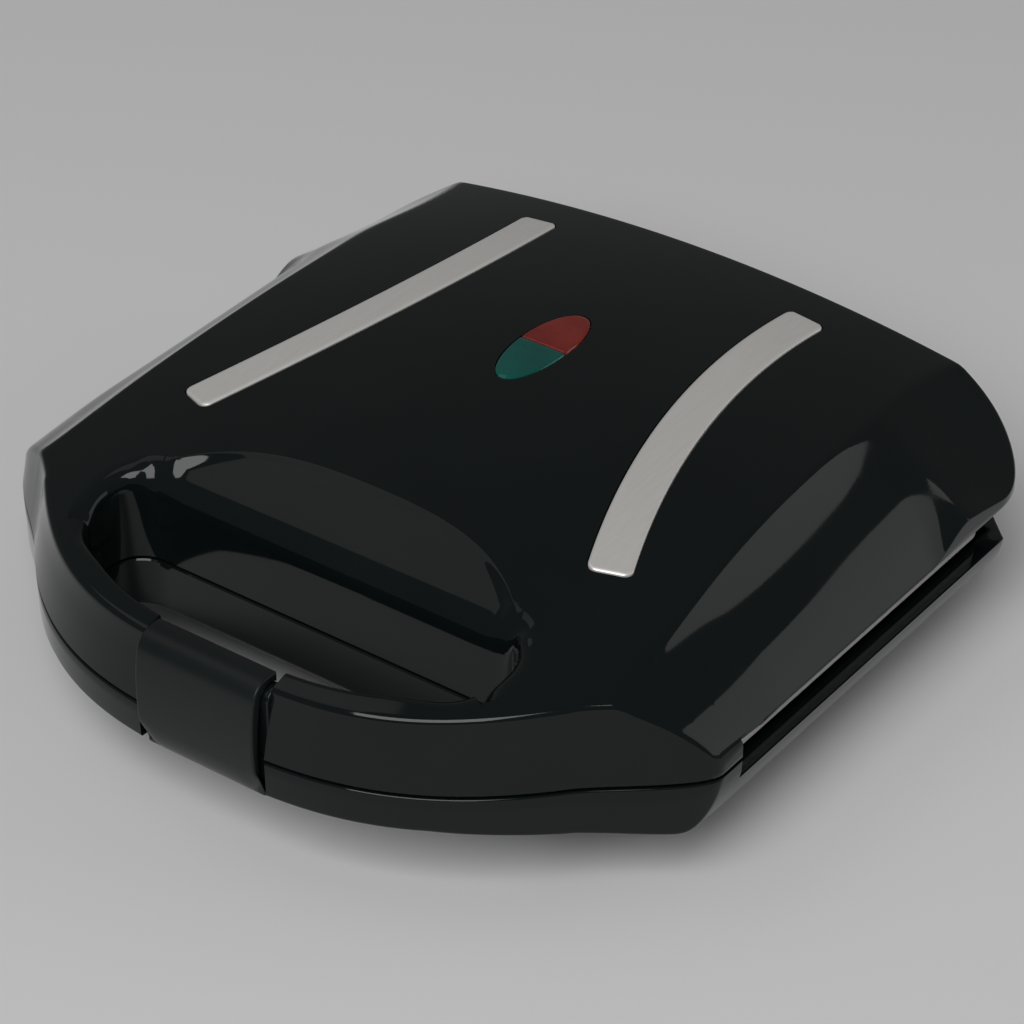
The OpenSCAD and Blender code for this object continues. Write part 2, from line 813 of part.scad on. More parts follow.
module lid_shell() {
    color(black)
        difference() {
            union() {
                difference() {
                    lid_form(0, rim_hi);
                    difference() {
                        union() {
                            intersection() {
                                lid_form(wall, recess_hi + wall);
                                block(-big, big, finger_y1 + wall, big, 0, big);
                                along_x(-big, big)
                                    polygon([[-big, 0], [big, 0], [big, big], [scoop_y - 2, big], [scoop_y - 2, scoop_z - 3.6],
                                        [-big, scoop_z - 3.6 - (scoop_y - 2 + big) * tan(scoop_a)]]);
                            }
                            intersection() {
                                lid_form(wall, rim_hi + wall);
                                block(-big, big, finger_y1 + wall, deck_y0 - wall, 0, recess_hi + 4);
                            }
                            slab(block_w + 2 * deck_gap, block_d + 2 * deck_gap, block_r, part_z, recess_hi + 5);
                            plate_space(part_z, recess_hi);
                        }
                        lid_posts();
                    }
                    latch_bay(0, big);
                }
                block(-bay_w / 2 - 0.5, bay_w / 2 + 0.5, pivot_y - neck_r, pivot_y + neck_r, rim_hi, pivot_z);
                rod_x(-bay_w / 2 - 0.5, bay_w / 2 + 0.5, pivot_y, pivot_z, neck_r);
                for (s = [-1, 1])
                    lid_barrel(s * hinge_x - 6, s * hinge_x + 6);
                lid_barrel(0.2, 22);
            }
            difference() {
                finger_cut();
                block(-bay_w / 2, bay_w / 2, pivot_y - neck_r, pivot_y + neck_r, 0, big);
            }
            intersection() {
                along_x(-big, big)
                    polygon([[scoop_y, scoop_z], [scoop_y + 40, scoop_z + 40 * tan(scoop_a)], [scoop_y, big], [finger_y0, big],
                        [finger_y1 - 3, scoop_z - (scoop_y - finger_y1 + 3) * tan(scoop_a)]]);
                linear_extrude(big)
                    polygon(concat([[0, scoop_y]], scoop_half(), [[62, finger_y1 - 2], [-62, finger_y1 - 2]], mirrored(scoop_half())));
            }
            block(-slot_w, slot_w, front_y - 9, pivot_y + neck_r + 1, pivot_z - neck_r - 0.6, big);
            rod_x(-bay_w / 2 - 4, bay_w / 2 + 4, pivot_y, pivot_z, latch_pin_r);
            for (s = [-1, 1])
                rod_x(s * hinge_x - 18, s * hinge_x + 18, axis_y, part_z, hinge_pin_r + run_c);
            rod_x(0, lead_x, axis_y, part_z, sleeve_r);
            rod_y(lead_x, back_y - 13, axis_y, part_z + lead_z, sleeve_r);
            at_corners(screw_x, screw_y, plate_y)
                rod_z(0, 0, part_z, part_z + flange_gap + 12.5, screw_r);
            at_corners(post_x, post_y, plate_y)
                rod_z(0, 0, part_z, part_z + reflector_z + reflector_t + 2, small_r);
            for (s = [-1, 1])
                rod_z(s * holder_x, lens_y, holder_z - 1, holder_z + 3, small_r);
            linear_extrude(big)
                ellipse_of(0.4);
            for (s = [0, 1])
                mirror([s, 0, 0]) {
                    difference() {
                        translate([0, 0, part_z])
                            linear_extrude(big)
                                strip_flat(0.4);
                        crown(1.02);
                    }
                    at_studs()
                        rod_z(0, 0, part_z + 20, big, small_r + 0.1);
                }
        }
}

slot_w = 8;

module trim_strip_left() {
    color(silver)
        mirror([1, 0, 0])
            strip_with_studs();
}

module trim_strip_right() {
    color(silver)
        strip_with_studs();
}

module strip_push_nuts() {
    color(steel)
        for (s = [0, 1])
            mirror([s, 0, 0])
                for (a = [strip_a0 + 3, (strip_a0 + strip_a1) / 2, strip_a1 - 3]) {
                    p = strip_c + (strip_ri + strip_ro) / 2 * [cos(a), sin(a)];
                    translate([p[0], p[1], lid_top - wall - 1.7 - (p[0] * p[0] + pow(p[1] - crown_y, 2)) / (2 * crown_r)])
                        push_nut();
                }
}

lens_z = lid_top - wall - 2.5;

module lens(y0, y1) {
    intersection() {
        translate([0, 0, lens_z])
            linear_extrude(20)
                intersection() {
                    ellipse_of(0);
                    translate([-30, y0])
                        square([60, y1 - y0]);
                }
        crown(-0.6, 720);
    }
    translate([0, 0, lens_z])
        linear_extrude(1.8)
            intersection() {
                ellipse_of(1.8);
                translate([-30, y0])
                    square([60, y1 - y0]);
            }
}

module lens_red() {
    color([0.55, 0.12, 0.1, 0.8])
        lens(lens_y + 0.15, lens_y + 40);
}

module lens_green() {
    color([0.05, 0.4, 0.34, 0.8])
        lens(lens_y - 40, lens_y - 0.15);
}

lamp_z = lid_top - wall - 6;
lamp_r = 2.4;
holder_y = lens_b + 3.6;

module lamp(y) {
    rod_y(0, y - 6, y + 6, lamp_z, lamp_r);
    for (s = [-1, 1])
        rod_y(s, y - 10, y - 6, lamp_z, 0.4);
}

module lamp_red() {
    color([1, 0.6, 0.4, 0.7])
        lamp(lens_y + 11);
}

module lamp_green() {
    color([0.7, 1, 0.8, 0.7])
        lamp(lens_y - 9);
}

module lamp_holder() {
    color(cream)
        difference() {
            union() {
                block(-12, 12, lens_y - holder_y, lens_y + holder_y, lamp_z - lamp_r - 1, lens_z - 0.05);
                block(-holder_x - 4, holder_x + 4, lens_y - 4, lens_y + 4, holder_z - 2, holder_z);
            }
            block(-6, 6, lens_y - holder_y + 2, lens_y + holder_y - 3, lamp_z + 0.02, lid_top);
            for (y = [-9, 11])
                rod_y(0, lens_y + y - 12, lens_y + y + 6.2, lamp_z, lamp_r + 0.05);
            for (s = [-1, 1])
                rod_z(s * holder_x, lens_y, holder_z - 3, holder_z + 1, small_r + 0.1);
        }
}

module lamp_screws() {
    color(steel)
        for (s = [-1, 1]) {
            rod_z(s * holder_x, lens_y, holder_z - 2, holder_z + 2.5, small_r);
            rod_z(s * holder_x, lens_y, holder_z - 3.2, holder_z - 2, small_r * 1.9);
        }
}

module upper_cooking_plate() {
    color(grey)
        upper()
            plate(5.2);
}

module upper_plate_screws() {
    color(steel)
        upper()
            plate_screws();
}

module upper_heater() {
    color(steel)
        upper()
            heater();
}

module upper_heater_clamps() {
    color(steel)
        upper()
            clamps();
}

module upper_clamp_screws() {
    color(steel)
        upper()
            clamp_screws();
}

module upper_reflector() {
    color(silver)
        difference() {
            upper()
                reflector(lid_tray);
            block(-14, 14, lens_y - holder_y - 2, lens_y + holder_y + 2, part_z, lid_top);
        }
}

module upper_reflector_screws() {
    color(steel)
        upper()
            reflector_screws();
}

module thermostat() {
    color(cream)
        upper() {
            rod_z(0, plate_y + 10, -block_z - 6, -block_z - 1, 8);
            block(-3, 3, plate_y - 1, plate_y + 21, -block_z - 4, -block_z - 3);
        }
}

module thermostat_bracket() {
    color(steel)
        upper()
            difference() {
                block(-20, 20, plate_y + 5, plate_y + 15, -block_z - 1, -block_z);
                for (s = [-1, 1])
                    rod_z(s * 16, plate_y + 10, -block_z - 2, 0, small_r + 0.1);
            }
}

module thermostat_screws() {
    color(steel)
        upper()
            for (s = [-1, 1])
                rod_z(s * 16, plate_y + 10, -block_z - 2.4, -block_z - 1, small_r * 1.9);
}

module lid_wiring() {
    color([0.75, 0.15, 0.1])
        for (s = [-1, 1]) {
            wire([[s * 5, lens_y + holder_y + 0.6, lamp_z],
                [s * 16, leg_y1 + 11, part_z + reflector_z + 4],
                [s * (leg_x - 3), leg_y1 + 14, part_z + tube_z + 2],
                [s * leg_x, leg_y1 + 11, part_z + tube_z],
                [s * leg_x, leg_y1 + 7.02, part_z + tube_z]], 1.1);
        }
}

module lid_lead_sleeve() {
    color([0.12, 0.12, 0.12])
        wire([[lead_x, back_y - 12, part_z + lead_z],
            [lead_x, axis_y, part_z + lead_z],
            [lead_x, axis_y, part_z],
            [0.15, axis_y, part_z]], sleeve_r);
}

module latch_pin() {
    color(steel)
        rod_x(-bay_w / 2 - 3.5, bay_w / 2 + 3.5, pivot_y, pivot_z, latch_pin_r);
}

// Latch clip: a bent profile with a hub that turns on the pin
hub_r = neck_r - 0.2;

function clip_profile() = concat(
    [[pivot_y + 2.5, pivot_z + 6.4]],
    arc([clip_out + 5, pivot_z + 0.9], 5, 95, 175, 4),
    arc([clip_out + 4, lip_z - clip_t + 4], 4, 180, 270, 4),
    [[pivot_y + 2, lip_z - clip_t], [pivot_y + 2, lip_z]],
    arc([clip_out + clip_t + 1.2, lip_z + 1.2], 1.2, 270, 180, 3),
    arc([pivot_y, pivot_z], neck_r + 0.3, 180, 55, 7));

module latch_clip() {
    color(black)
        difference() {
            union() {
                along_x(-clip_w / 2, clip_w / 2)
                    polygon(clip_profile());
                rod_x(-slot_w + 0.6, slot_w - 0.6, pivot_y, pivot_z, hub_r);
                along_x(-slot_w + 0.6, slot_w - 0.6)
                    polygon([[pivot_y + 2.2, pivot_z], [pivot_y + 2.4, pivot_z + 5], [pivot_y - 3, pivot_z + 5], [clip_out + 1.5, pivot_z + 1], [pivot_y - 3, pivot_z - 1]]);
            }
            rod_x(-20, 20, pivot_y, pivot_z, latch_pin_r + run_c);
        }
}

base_shell();
feet();
cord_gland();
cord_clamp();
cord_clamp_screws();
terminal_block();
terminal_screws();
lower_cooking_plate();
lower_plate_screws();
lower_heater();
lower_heater_clamps();
lower_clamp_screws();
lower_reflector();
lower_reflector_screws();
thermal_fuse();
fuse_clip();
base_wiring();
base_lead_sleeve();
hinge_pins();
lid_shell();
trim_strip_left();
trim_strip_right();
strip_push_nuts();
lens_red();
lens_green();
lamp_red();
lamp_green();
lamp_holder();
lamp_screws();
upper_cooking_plate();
upper_plate_screws();
upper_heater();
upper_heater_clamps();
upper_clamp_screws();
upper_reflector();
upper_reflector_screws();
thermostat();
thermostat_bracket();
thermostat_screws();
lid_wiring();
lid_lead_sleeve();
latch_pin();
latch_clip();
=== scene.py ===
"""Sandwich toaster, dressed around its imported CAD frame. Metres, +Z up, handle towards -Y."""
import math

import bpy
import numpy as np
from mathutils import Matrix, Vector


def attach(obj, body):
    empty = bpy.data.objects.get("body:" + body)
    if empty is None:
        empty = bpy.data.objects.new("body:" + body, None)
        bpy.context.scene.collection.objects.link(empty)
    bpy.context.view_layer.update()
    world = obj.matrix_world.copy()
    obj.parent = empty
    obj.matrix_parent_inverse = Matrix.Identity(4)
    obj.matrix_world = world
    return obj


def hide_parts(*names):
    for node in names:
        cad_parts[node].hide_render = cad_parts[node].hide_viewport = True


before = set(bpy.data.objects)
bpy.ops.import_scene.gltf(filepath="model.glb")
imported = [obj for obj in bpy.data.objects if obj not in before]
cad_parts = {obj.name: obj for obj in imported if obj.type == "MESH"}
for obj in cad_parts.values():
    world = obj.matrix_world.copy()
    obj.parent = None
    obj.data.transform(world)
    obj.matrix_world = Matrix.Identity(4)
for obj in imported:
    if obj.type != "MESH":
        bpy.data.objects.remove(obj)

scene = bpy.context.scene
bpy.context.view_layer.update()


# ---- Camera ----
# A long lens that looks down over the front right corner, at the photograph's angle.
# The place and the aim were fitted to the corners of the lid, its strips and its lens.
MM = 0.001
CAMERA_PLACE = Vector((516.9, -684.9, 625.4)) * MM
CAMERA_AIM = Vector((41.248, -40.34, 78.0)) * MM

lens_data = bpy.data.cameras.new("camera")
lens_data.sensor_width = 36.0
lens_data.lens = 132.58
camera = bpy.data.objects.new("camera", lens_data)
camera.location = CAMERA_PLACE
camera.rotation_euler = (CAMERA_AIM - CAMERA_PLACE).to_track_quat("-Z", "Y").to_euler()
scene.collection.objects.link(camera)
scene.camera = camera


# ---- Studio ----
# A pale matt floor under soft boxes: a wide key in front on the right, a panel behind on the right that
# draws the grey bands on the lid's side, and one overhead on the left for the scoop.
FLOOR_HALF = 4
scene.view_settings.view_transform = "Standard"


def new_material(name, **sockets):
    """A material with a Principled BSDF whose named sockets take plain values."""
    material = bpy.data.materials.new(name)
    material.use_nodes = True
    shader = material.node_tree.nodes["Principled BSDF"]
    for socket, value in sockets.items():
        shader.inputs[socket.replace("_", " ")].default_value = value
    return material, material.node_tree.nodes, material.node_tree.links, shader


def paper_floor():
    """A matt material whose grey runs between two close tones by a slow noise."""
    material, nodes, links, shader = new_material("floor", Base_Color=(0.8, 0.8, 0.8, 1), Roughness=0.9,
                                                  Specular_IOR_Level=0.1)
    mottle = nodes.new("ShaderNodeTexNoise")
    mottle.inputs["Scale"].default_value = 6.0
    paper = nodes.new("ShaderNodeMix")
    paper.data_type = "RGBA"
    paper.inputs["A"].default_value = (0.79, 0.79, 0.79, 1)
    paper.inputs["B"].default_value = (0.81, 0.81, 0.81, 1)
    links.new(mottle.outputs["Fac"], paper.inputs["Factor"])
    links.new(paper.outputs["Result"], shader.inputs["Base Color"])
    return material


world = bpy.data.worlds.new("studio")
world.use_nodes = True
world.node_tree.nodes["Background"].inputs["Color"].default_value = (0.14, 0.14, 0.14, 1)
scene.world = world

floor_mesh = bpy.data.meshes.new("floor")
floor_corners = [(x * FLOOR_HALF, y * FLOOR_HALF, 0) for x, y in ((-1, -1), (1, -1), (1, 1), (-1, 1))]
floor_mesh.from_pydata(floor_corners, [], [(0, 1, 2, 3)])
floor = bpy.data.objects.new("floor", floor_mesh)
scene.collection.objects.link(floor)
floor_mesh.materials.append(paper_floor())


def soft_box(name, place, width, height, radiance):
    """A rectangular lamp that faces the toaster; radiance is its brightness, where 1 is white."""
    lamp = bpy.data.lights.new(name, "AREA")
    lamp.shape = "RECTANGLE"
    lamp.size, lamp.size_y = width, height
    lamp.energy = radiance * math.pi * width * height
    holder = bpy.data.objects.new(name, lamp)
    holder.location = place
    holder.rotation_euler = (-Vector(place)).to_track_quat("-Z", "Y").to_euler()
    scene.collection.objects.link(holder)


soft_box("key_box", (0.6, -1.7, 1.9), 1.6, 1.6, 5.0)
soft_box("side_box", (1.37, 1.07, 0.64), 1.3, 0.95, 0.85)
soft_box("top_box", (-0.9, -0.25, 1.6), 1.0, 1.0, 0.4)


# ---- Finishes of plastic, rubber and metal ----
# Every finish has a slow change of tone and gloss, as handling leaves it, and a fine grain.
# Two node groups hold that: one for mouldings and coatings, one for drawn or brushed metal.
def new_group(name, inputs, outputs):
    """An empty shader node group with number inputs and named outputs."""
    group = bpy.data.node_groups.new(name, "ShaderNodeTree")
    for label, value in inputs.items():
        socket = group.interface.new_socket(label, in_out="INPUT", socket_type="NodeSocketFloat")
        socket.default_value = value
    for label, kind in outputs.items():
        group.interface.new_socket(label, in_out="OUTPUT", socket_type="NodeSocket" + kind)
    given, result = group.nodes.new("NodeGroupInput"), group.nodes.new("NodeGroupOutput")
    return group, group.nodes, group.links, given, result


def surface_group(name, stretch):
    """Group whose mask is slow noise; roughness runs between two limits by a mix of both noises, and the
    normal comes from a fine noise on coordinates that are stretched by three factors."""
    group, nodes, links, given, result = new_group(
        name, {"Grain": 900.0, "Depth": 0.00001, "Smooth": 0.1, "Rough": 0.3, "Patch": 22.0},
        {"Mask": "Float", "Fine": "Float", "Roughness": "Float", "Normal": "Vector"})
    place = nodes.new("ShaderNodeTexCoord")
    drawn = nodes.new("ShaderNodeMapping")
    drawn.inputs["Scale"].default_value = stretch
    links.new(place.outputs["Object"], drawn.inputs["Vector"])
    slow = nodes.new("ShaderNodeTexNoise")
    slow.inputs["Detail"].default_value = 4.0
    links.new(place.outputs["Object"], slow.inputs["Vector"])
    links.new(given.outputs["Patch"], slow.inputs["Scale"])
    fine = nodes.new("ShaderNodeTexNoise")
    fine.inputs["Detail"].default_value = 3.0
    links.new(drawn.outputs["Vector"], fine.inputs["Vector"])
    links.new(given.outputs["Grain"], fine.inputs["Scale"])
    patch = nodes.new("ShaderNodeMapRange")
    patch.inputs["From Min"].default_value = 0.35
    patch.inputs["From Max"].default_value = 0.65
    links.new(slow.outputs["Fac"], patch.inputs["Value"])
    both = nodes.new("ShaderNodeMix")
    both.inputs["Factor"].default_value = 0.35
    links.new(patch.outputs["Result"], both.inputs["A"])
    links.new(fine.outputs["Fac"], both.inputs["B"])
    limits = nodes.new("ShaderNodeMapRange")
    links.new(both.outputs["Result"], limits.inputs["Value"])
    links.new(given.outputs["Smooth"], limits.inputs["To Min"])
    links.new(given.outputs["Rough"], limits.inputs["To Max"])
    bump = nodes.new("ShaderNodeBump")
    links.new(given.outputs["Depth"], bump.inputs["Distance"])
    links.new(fine.outputs["Fac"], bump.inputs["Height"])
    links.new(patch.outputs["Result"], result.inputs["Mask"])
    links.new(fine.outputs["Fac"], result.inputs["Fine"])
    links.new(limits.outputs["Result"], result.inputs["Roughness"])
    links.new(bump.outputs["Normal"], result.inputs["Normal"])
    return group


moulded_surface = surface_group("moulded_surface", (1, 1, 1))
drawn_surface = surface_group("drawn_surface", (1, 0.03, 1))


def finish(name, colour, pale, smooth, rough, grain=900, depth=0.00001, patch=22, surface=moulded_surface,
           by="Mask", **sockets):
    """A material whose colour runs between two tones by the group's mask or fine noise."""
    material, nodes, links, shader = new_material(name, **sockets)
    life = nodes.new("ShaderNodeGroup")
    life.node_tree = surface
    given = {"Grain": grain, "Depth": depth, "Smooth": smooth, "Rough": rough, "Patch": patch}
    for label, value in given.items():
        life.inputs[label].default_value = value
    tone = nodes.new("ShaderNodeMix")
    tone.data_type = "RGBA"
    tone.inputs["A"].default_value = (*colour, 1)
    tone.inputs["B"].default_value = (*pale, 1)
    links.new(life.outputs[by], tone.inputs["Factor"])
    links.new(tone.outputs["Result"], shader.inputs["Base Color"])
    links.new(life.outputs["Roughness"], shader.inputs["Roughness"])
    links.new(life.outputs["Normal"], shader.inputs["Normal"])
    return material


def dress(material, *names):
    """Gives a material to CAD nodes."""
    for name in names:
        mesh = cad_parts[name].data
        mesh.materials.clear()
        mesh.materials.append(material)


gloss_black = finish("gloss_black", (0.0033, 0.0056, 0.0055), (0.0045, 0.0070, 0.0069), 0.045, 0.085,
                     grain=700, depth=0.000002, Specular_IOR_Level=0.3)


# ---- Outline that the base bowl and the lid cover share ----
# Both are moulded in gloss black plastic and meet on one plane, with the finger opening inside the
# handle. Each is a closed skin of rays that run from the opening's rim out to the outline. Sizes are
# in millimetres.
HALF_WIDTH = 117.5
FRONT_Y, BACK_Y = -119.0, 109.6
BOW_X, BOW_RISE = 90.0, 36.9
PART_Z, CROWN_Z, FOOT_Z = 36.0, 78.0, 7.0
NOTCH = (HALF_WIDTH, -45.5)
STEP_LINE = np.array([NOTCH, (112.5, -47.3), (107.0, -49.6), (0.0, -49.6)])
OPENING_FRONT, OPENING_BACK, OPENING_X, OPENING_BOW = -108.5, -66.5, 58.0, 14.5
OPENING_CENTRE = np.array([0.0, (OPENING_FRONT + OPENING_BACK) / 2])
NOTCH_ANGLE = math.atan2(NOTCH[1] - OPENING_CENTRE[1], NOTCH[0])
HALF_RAYS = 288
RAY_SHARES = np.sin(np.linspace(0, np.pi / 2, 900))[:, None, None]
TOP_RINGS, EDGE_RINGS = 100, 8
TURN_WEIGHT = 22
LEAST_RISE, DRAFTED_HEIGHT = 0.35, 21
SIDE_ROUND, CLIPPED_ROUND, CHAMFER = 0.15, 0.04, 0.4


def bezier(points, steps):
    """Points on the cubic curve of four control points."""
    t = np.linspace(0, 1, steps)[:, None]
    a, b, c, d = np.asarray(points, float)
    return (1 - t) ** 3 * a + 3 * t * (1 - t) ** 2 * b + 3 * t ** 2 * (1 - t) * c + t ** 3 * d


def arc(centre, radius, start, stop, steps):
    """Points on a circle between two angles in degrees."""
    turn = np.radians(np.linspace(start, stop, steps))
    return np.asarray(centre) + radius * np.stack([np.cos(turn), np.sin(turn)], 1)


def length_along(points):
    """Length from a line's first point to each of its points."""
    return np.concatenate([[0], np.cumsum(np.hypot(*np.diff(points, axis=0).T))])


def dense(points, step=0.2):
    """The same line with a point at every step of its length."""
    length = length_along(points)
    at = np.linspace(0, length[-1], int(length[-1] / step) + 1)
    return np.stack([np.interp(at, length, points[:, 0]), np.interp(at, length, points[:, 1])], 1)


def outline_half(corner):
    """Right half of the outline, front to back: a power curve, a cubic cheek, the side and the corner."""
    x = np.linspace(0, BOW_X, 160)
    bow = np.stack([x, FRONT_Y + BOW_RISE * (x / BOW_X) ** 2.75], 1)
    end = FRONT_Y + BOW_RISE
    cheek = bezier([(BOW_X, end), (BOW_X + 6.5, end + 7.2), (HALF_WIDTH, -61.5), (HALF_WIDTH, -54.0)], 80)
    return dense(np.vstack([bow, cheek[1:], corner, [(0.0, BACK_Y)]]))


def opening_half():
    """Right half of the finger opening, front to back: a power curve, a cubic end and a straight back."""
    x = np.linspace(0, OPENING_X, 120)
    front = np.stack([x, OPENING_FRONT + OPENING_BOW * (x / OPENING_X) ** 2.85], 1)
    end = bezier([(OPENING_X, OPENING_FRONT + OPENING_BOW), (67.8, -87.0), (72.0, OPENING_BACK),
                  (56.0, OPENING_BACK)], 80)
    return dense(np.vstack([front, end[1:], [(0.0, OPENING_BACK)]]))


def seen_from_centre(loop):
    """Angle and distance of each point of a half loop from the opening's centre."""
    d = loop - OPENING_CENTRE
    return np.arctan2(d[:, 1], d[:, 0]), np.hypot(d[:, 0], d[:, 1])


def ray_angles(loops):
    """Angles whose rays are spread evenly along the loops, with two that hug the notch in the rim."""
    fine = np.linspace(-np.pi / 2, np.pi / 2, 20001)
    spread = np.zeros_like(fine)
    for loop, share in loops:
        length = length_along(loop)
        spread += share * np.interp(fine, seen_from_centre(loop)[0], length / length[-1])
    angles = np.interp(np.linspace(0, spread[-1], HALF_RAYS + 1), spread, fine)
    nearest = np.sort(np.argsort(abs(angles - NOTCH_ANGLE))[:2])
    angles[nearest] = NOTCH_ANGLE - 1e-4, NOTCH_ANGLE + 1e-4
    return angles


def on_loop(loop, angles):
    """Where each ray meets a loop and the loop's normal there, mirrored to the full turn."""
    angle, radius = seen_from_centre(loop)
    r = np.interp(angles, angle, radius)[:, None]
    points = OPENING_CENTRE + r * np.stack([np.cos(angles), np.sin(angles)], 1)
    middle = (angle[1:] + angle[:-1]) / 2
    step = np.diff(loop, axis=0)
    length = np.hypot(step[:, 0], step[:, 1])
    normal = np.stack([np.interp(angles, middle, step[:, 1] / length),
                       np.interp(angles, middle, -step[:, 0] / length)], 1)
    normal[[0, -1], 0] = 0
    normal /= np.hypot(*normal.T)[:, None]
    mirror = np.array([-1, 1])
    return np.vstack([points, points[-2:0:-1] * mirror]), np.vstack([normal, normal[-2:0:-1] * mirror])


def smooth(low, high, x):
    """0 below low, 1 above high and a smooth step between."""
    t = np.clip((x - low) / (high - low), 0, 1)
    return t * t * (3 - 2 * t)


def soft_min(a, b, k):
    """The lower of two heights, rounded where they cross within k of each other."""
    return np.minimum(a, b) - np.maximum(k - abs(a - b), 0) ** 2 / (4 * k)


def soft_max(a, b, k):
    """The higher of two heights, rounded where they cross within k of each other."""
    return -soft_min(-a, -b, k)


def rounded(start, corner, stop, steps):
    """Quadratic curves from start to stop that are drawn towards the corner, ends included."""
    t = np.linspace(0, 1, steps)[:, None, None]
    return (1 - t) ** 2 * start + 2 * t * (1 - t) * corner + t ** 2 * stop


def lifted(flat, z):
    """Points of the plan with a height."""
    return np.concatenate([flat, np.broadcast_to(z, flat.shape[:-1])[..., None]], -1)


def clear_reach(start, stop, surface, side, rim_z):
    """Share of each ray over which the surface stands clear of the rim, and which rays that cuts short."""
    z = surface(*np.moveaxis(start + RAY_SHARES * (stop - start), -1, 0))
    clear = np.cumprod(side * (z - rim_z) > LEAST_RISE, 0)
    return RAY_SHARES[clear.sum(0) - 1, 0, 0][:, None], ~clear.all(0)[:, None]


def surface_rings(start, stop, surface):
    """Rings along the surface from start to stop, spaced evenly by length plus weighted turn, so that they
    gather where it bends; the spacing is then averaged over nine neighbouring rays."""
    path = start + RAY_SHARES * (stop - start)
    run = np.hypot(*np.moveaxis(np.diff(path, axis=0), -1, 0))
    rise = np.diff(surface(*np.moveaxis(path, -1, 0)), axis=0)
    gather = np.hypot(run, rise)
    gather[1:] += TURN_WEIGHT * np.abs(np.diff(np.arctan2(rise, run), axis=0))
    total = np.vstack([np.zeros(len(start)), np.cumsum(gather, 0)])
    total /= total[-1]
    even = np.linspace(0, 1, TOP_RINGS)
    places = np.stack([np.interp(even, ray, RAY_SHARES[:, 0, 0]) for ray in total.T], 1)
    window = np.hanning(9) / np.hanning(9).sum()
    places = sum(weight * np.roll(places, k - len(window) // 2, 1) for k, weight in enumerate(window))
    top = start + places[..., None] * (stop - start)
    return lifted(top, surface(*np.moveaxis(top, -1, 0)))


def stepped_underside(outer, behind, rim, rim_z):
    """Two rings of the underside: in front a lip along the outline, and behind the notch the step line."""
    ray = outer - OPENING_CENTRE
    angle, radius = np.arctan2(ray[:, 1], abs(ray[:, 0])), np.hypot(*ray.T)
    line_angle, line_radius = seen_from_centre(dense(STEP_LINE))
    on_line = np.minimum(np.interp(angle, line_angle, line_radius), radius - 1.2)
    step_radius = np.where(behind, on_line, radius - 4.6)
    towards = ray / radius[:, None]
    step_out = OPENING_CENTRE + towards * step_radius[:, None]
    step_in = step_out - towards * np.where(behind, 0.02, 0.6)[:, None]
    return [lifted(step_out, rim_z), lifted(step_in, rim[0])]


def moulded_skin(corner, surface, side, rim, draft, fillet, inner_fillet):
    """Closed skin, ring by ring: up the opening's wall, over its fillet, along the surface, over the outer
    fillet, down the drafted wall, and back along the stepped underside. Side is 1 upwards and -1 down;
    rim, draft and fillet each have a value for the front and one for the back."""
    loop, opening = outline_half(corner), opening_half()
    angles = ray_angles([(loop, 0.7), (opening, 0.3)])
    outer, out = on_loop(loop, angles)
    inner, into = on_loop(opening, angles)
    behind = np.arctan2(outer[:, 1] - OPENING_CENTRE[1], abs(outer[:, 0])) > NOTCH_ANGLE
    rim_z = np.where(behind, rim[1], rim[0])
    front, back = smooth(0.1, 0.8, -out[:, 1]), smooth(0.1, 0.9, out[:, 1])
    tall = np.clip(side * (surface(*outer.T) - rim_z) / DRAFTED_HEIGHT, 0, 1)
    wall_draft = ((draft[0] * front + draft[1] * back) * tall)[:, None]
    wall_round = (SIDE_ROUND + (fillet[0] - SIDE_ROUND) * front + (fillet[1] - SIDE_ROUND) * back)[:, None]
    open_round = inner_fillet(*inner.T)[:, None]

    start = inner + into * open_round
    stop = outer - out * (wall_draft + wall_round)
    reach, clipped = clear_reach(start, stop, surface, side, rim_z)
    stop = start + reach * (stop - start)
    wall_draft = np.where(clipped, 0, wall_draft)
    wall_round = np.where(clipped, CLIPPED_ROUND, wall_round)
    top = surface_rings(start, stop, surface)

    up = side * np.array([0, 0, 1.0])
    lip = lifted(inner, surface(*inner.T))
    floor_in = lifted(inner, rim[0])
    inner_wall = [lifted(inner + into * CHAMFER, rim[0]), floor_in + CHAMFER * up]
    low, high = floor_in + 2 * CHAMFER * up, lip - open_round * up
    inner_wall += [low + (high - low) * t for t in (0, 0.33, 0.67)]
    inner_edge = rounded(high, lip, top[0], EDGE_RINGS)[:-1]

    wall = np.where(clipped, stop + out * CLIPPED_ROUND, outer)
    brow_plan = wall - out * wall_draft
    brow_rise = np.maximum(side * (surface(*brow_plan.T) - rim_z), 0.3)
    brow = lifted(brow_plan, rim_z + side * brow_rise)
    drop = np.minimum(wall_round * 1.15, abs(brow[:, 2:] - rim_z[:, None]) * 0.5)
    shoulder = brow - drop * up
    outer_edge = rounded(top[-1], brow, shoulder, EDGE_RINGS)[1:]
    near = np.minimum(0.5, 0.4 * abs(shoulder[:, 2:] - rim_z[:, None]))
    foot = lifted(wall, rim_z) + near * up
    outer_wall = [shoulder + (foot - shoulder) * t for t in (0.33, 0.67, 1)]
    outer_wall.append(lifted(wall - out * 0.2, rim_z) + 0.3 * near * up)
    outer_wall.append(lifted(wall - out * 0.5, rim_z))
    under = stepped_underside(outer, behind, rim, rim_z)
    return np.stack([*inner_wall, *inner_edge, *top, *outer_edge, *outer_wall, *under])


def ring_faces(rings, rays, side):
    """Quads between neighbouring rings and rays, closed both ways round and facing out on the given side."""
    index = np.arange(rings * rays).reshape(rings, rays)
    across = np.roll(index, -1, 1)
    quads = np.stack([index, np.roll(index, -1, 0), np.roll(across, -1, 0), across], -1).reshape(-1, 4)
    return quads if side > 0 else quads[:, ::-1]


SHARP_ANGLE = 35


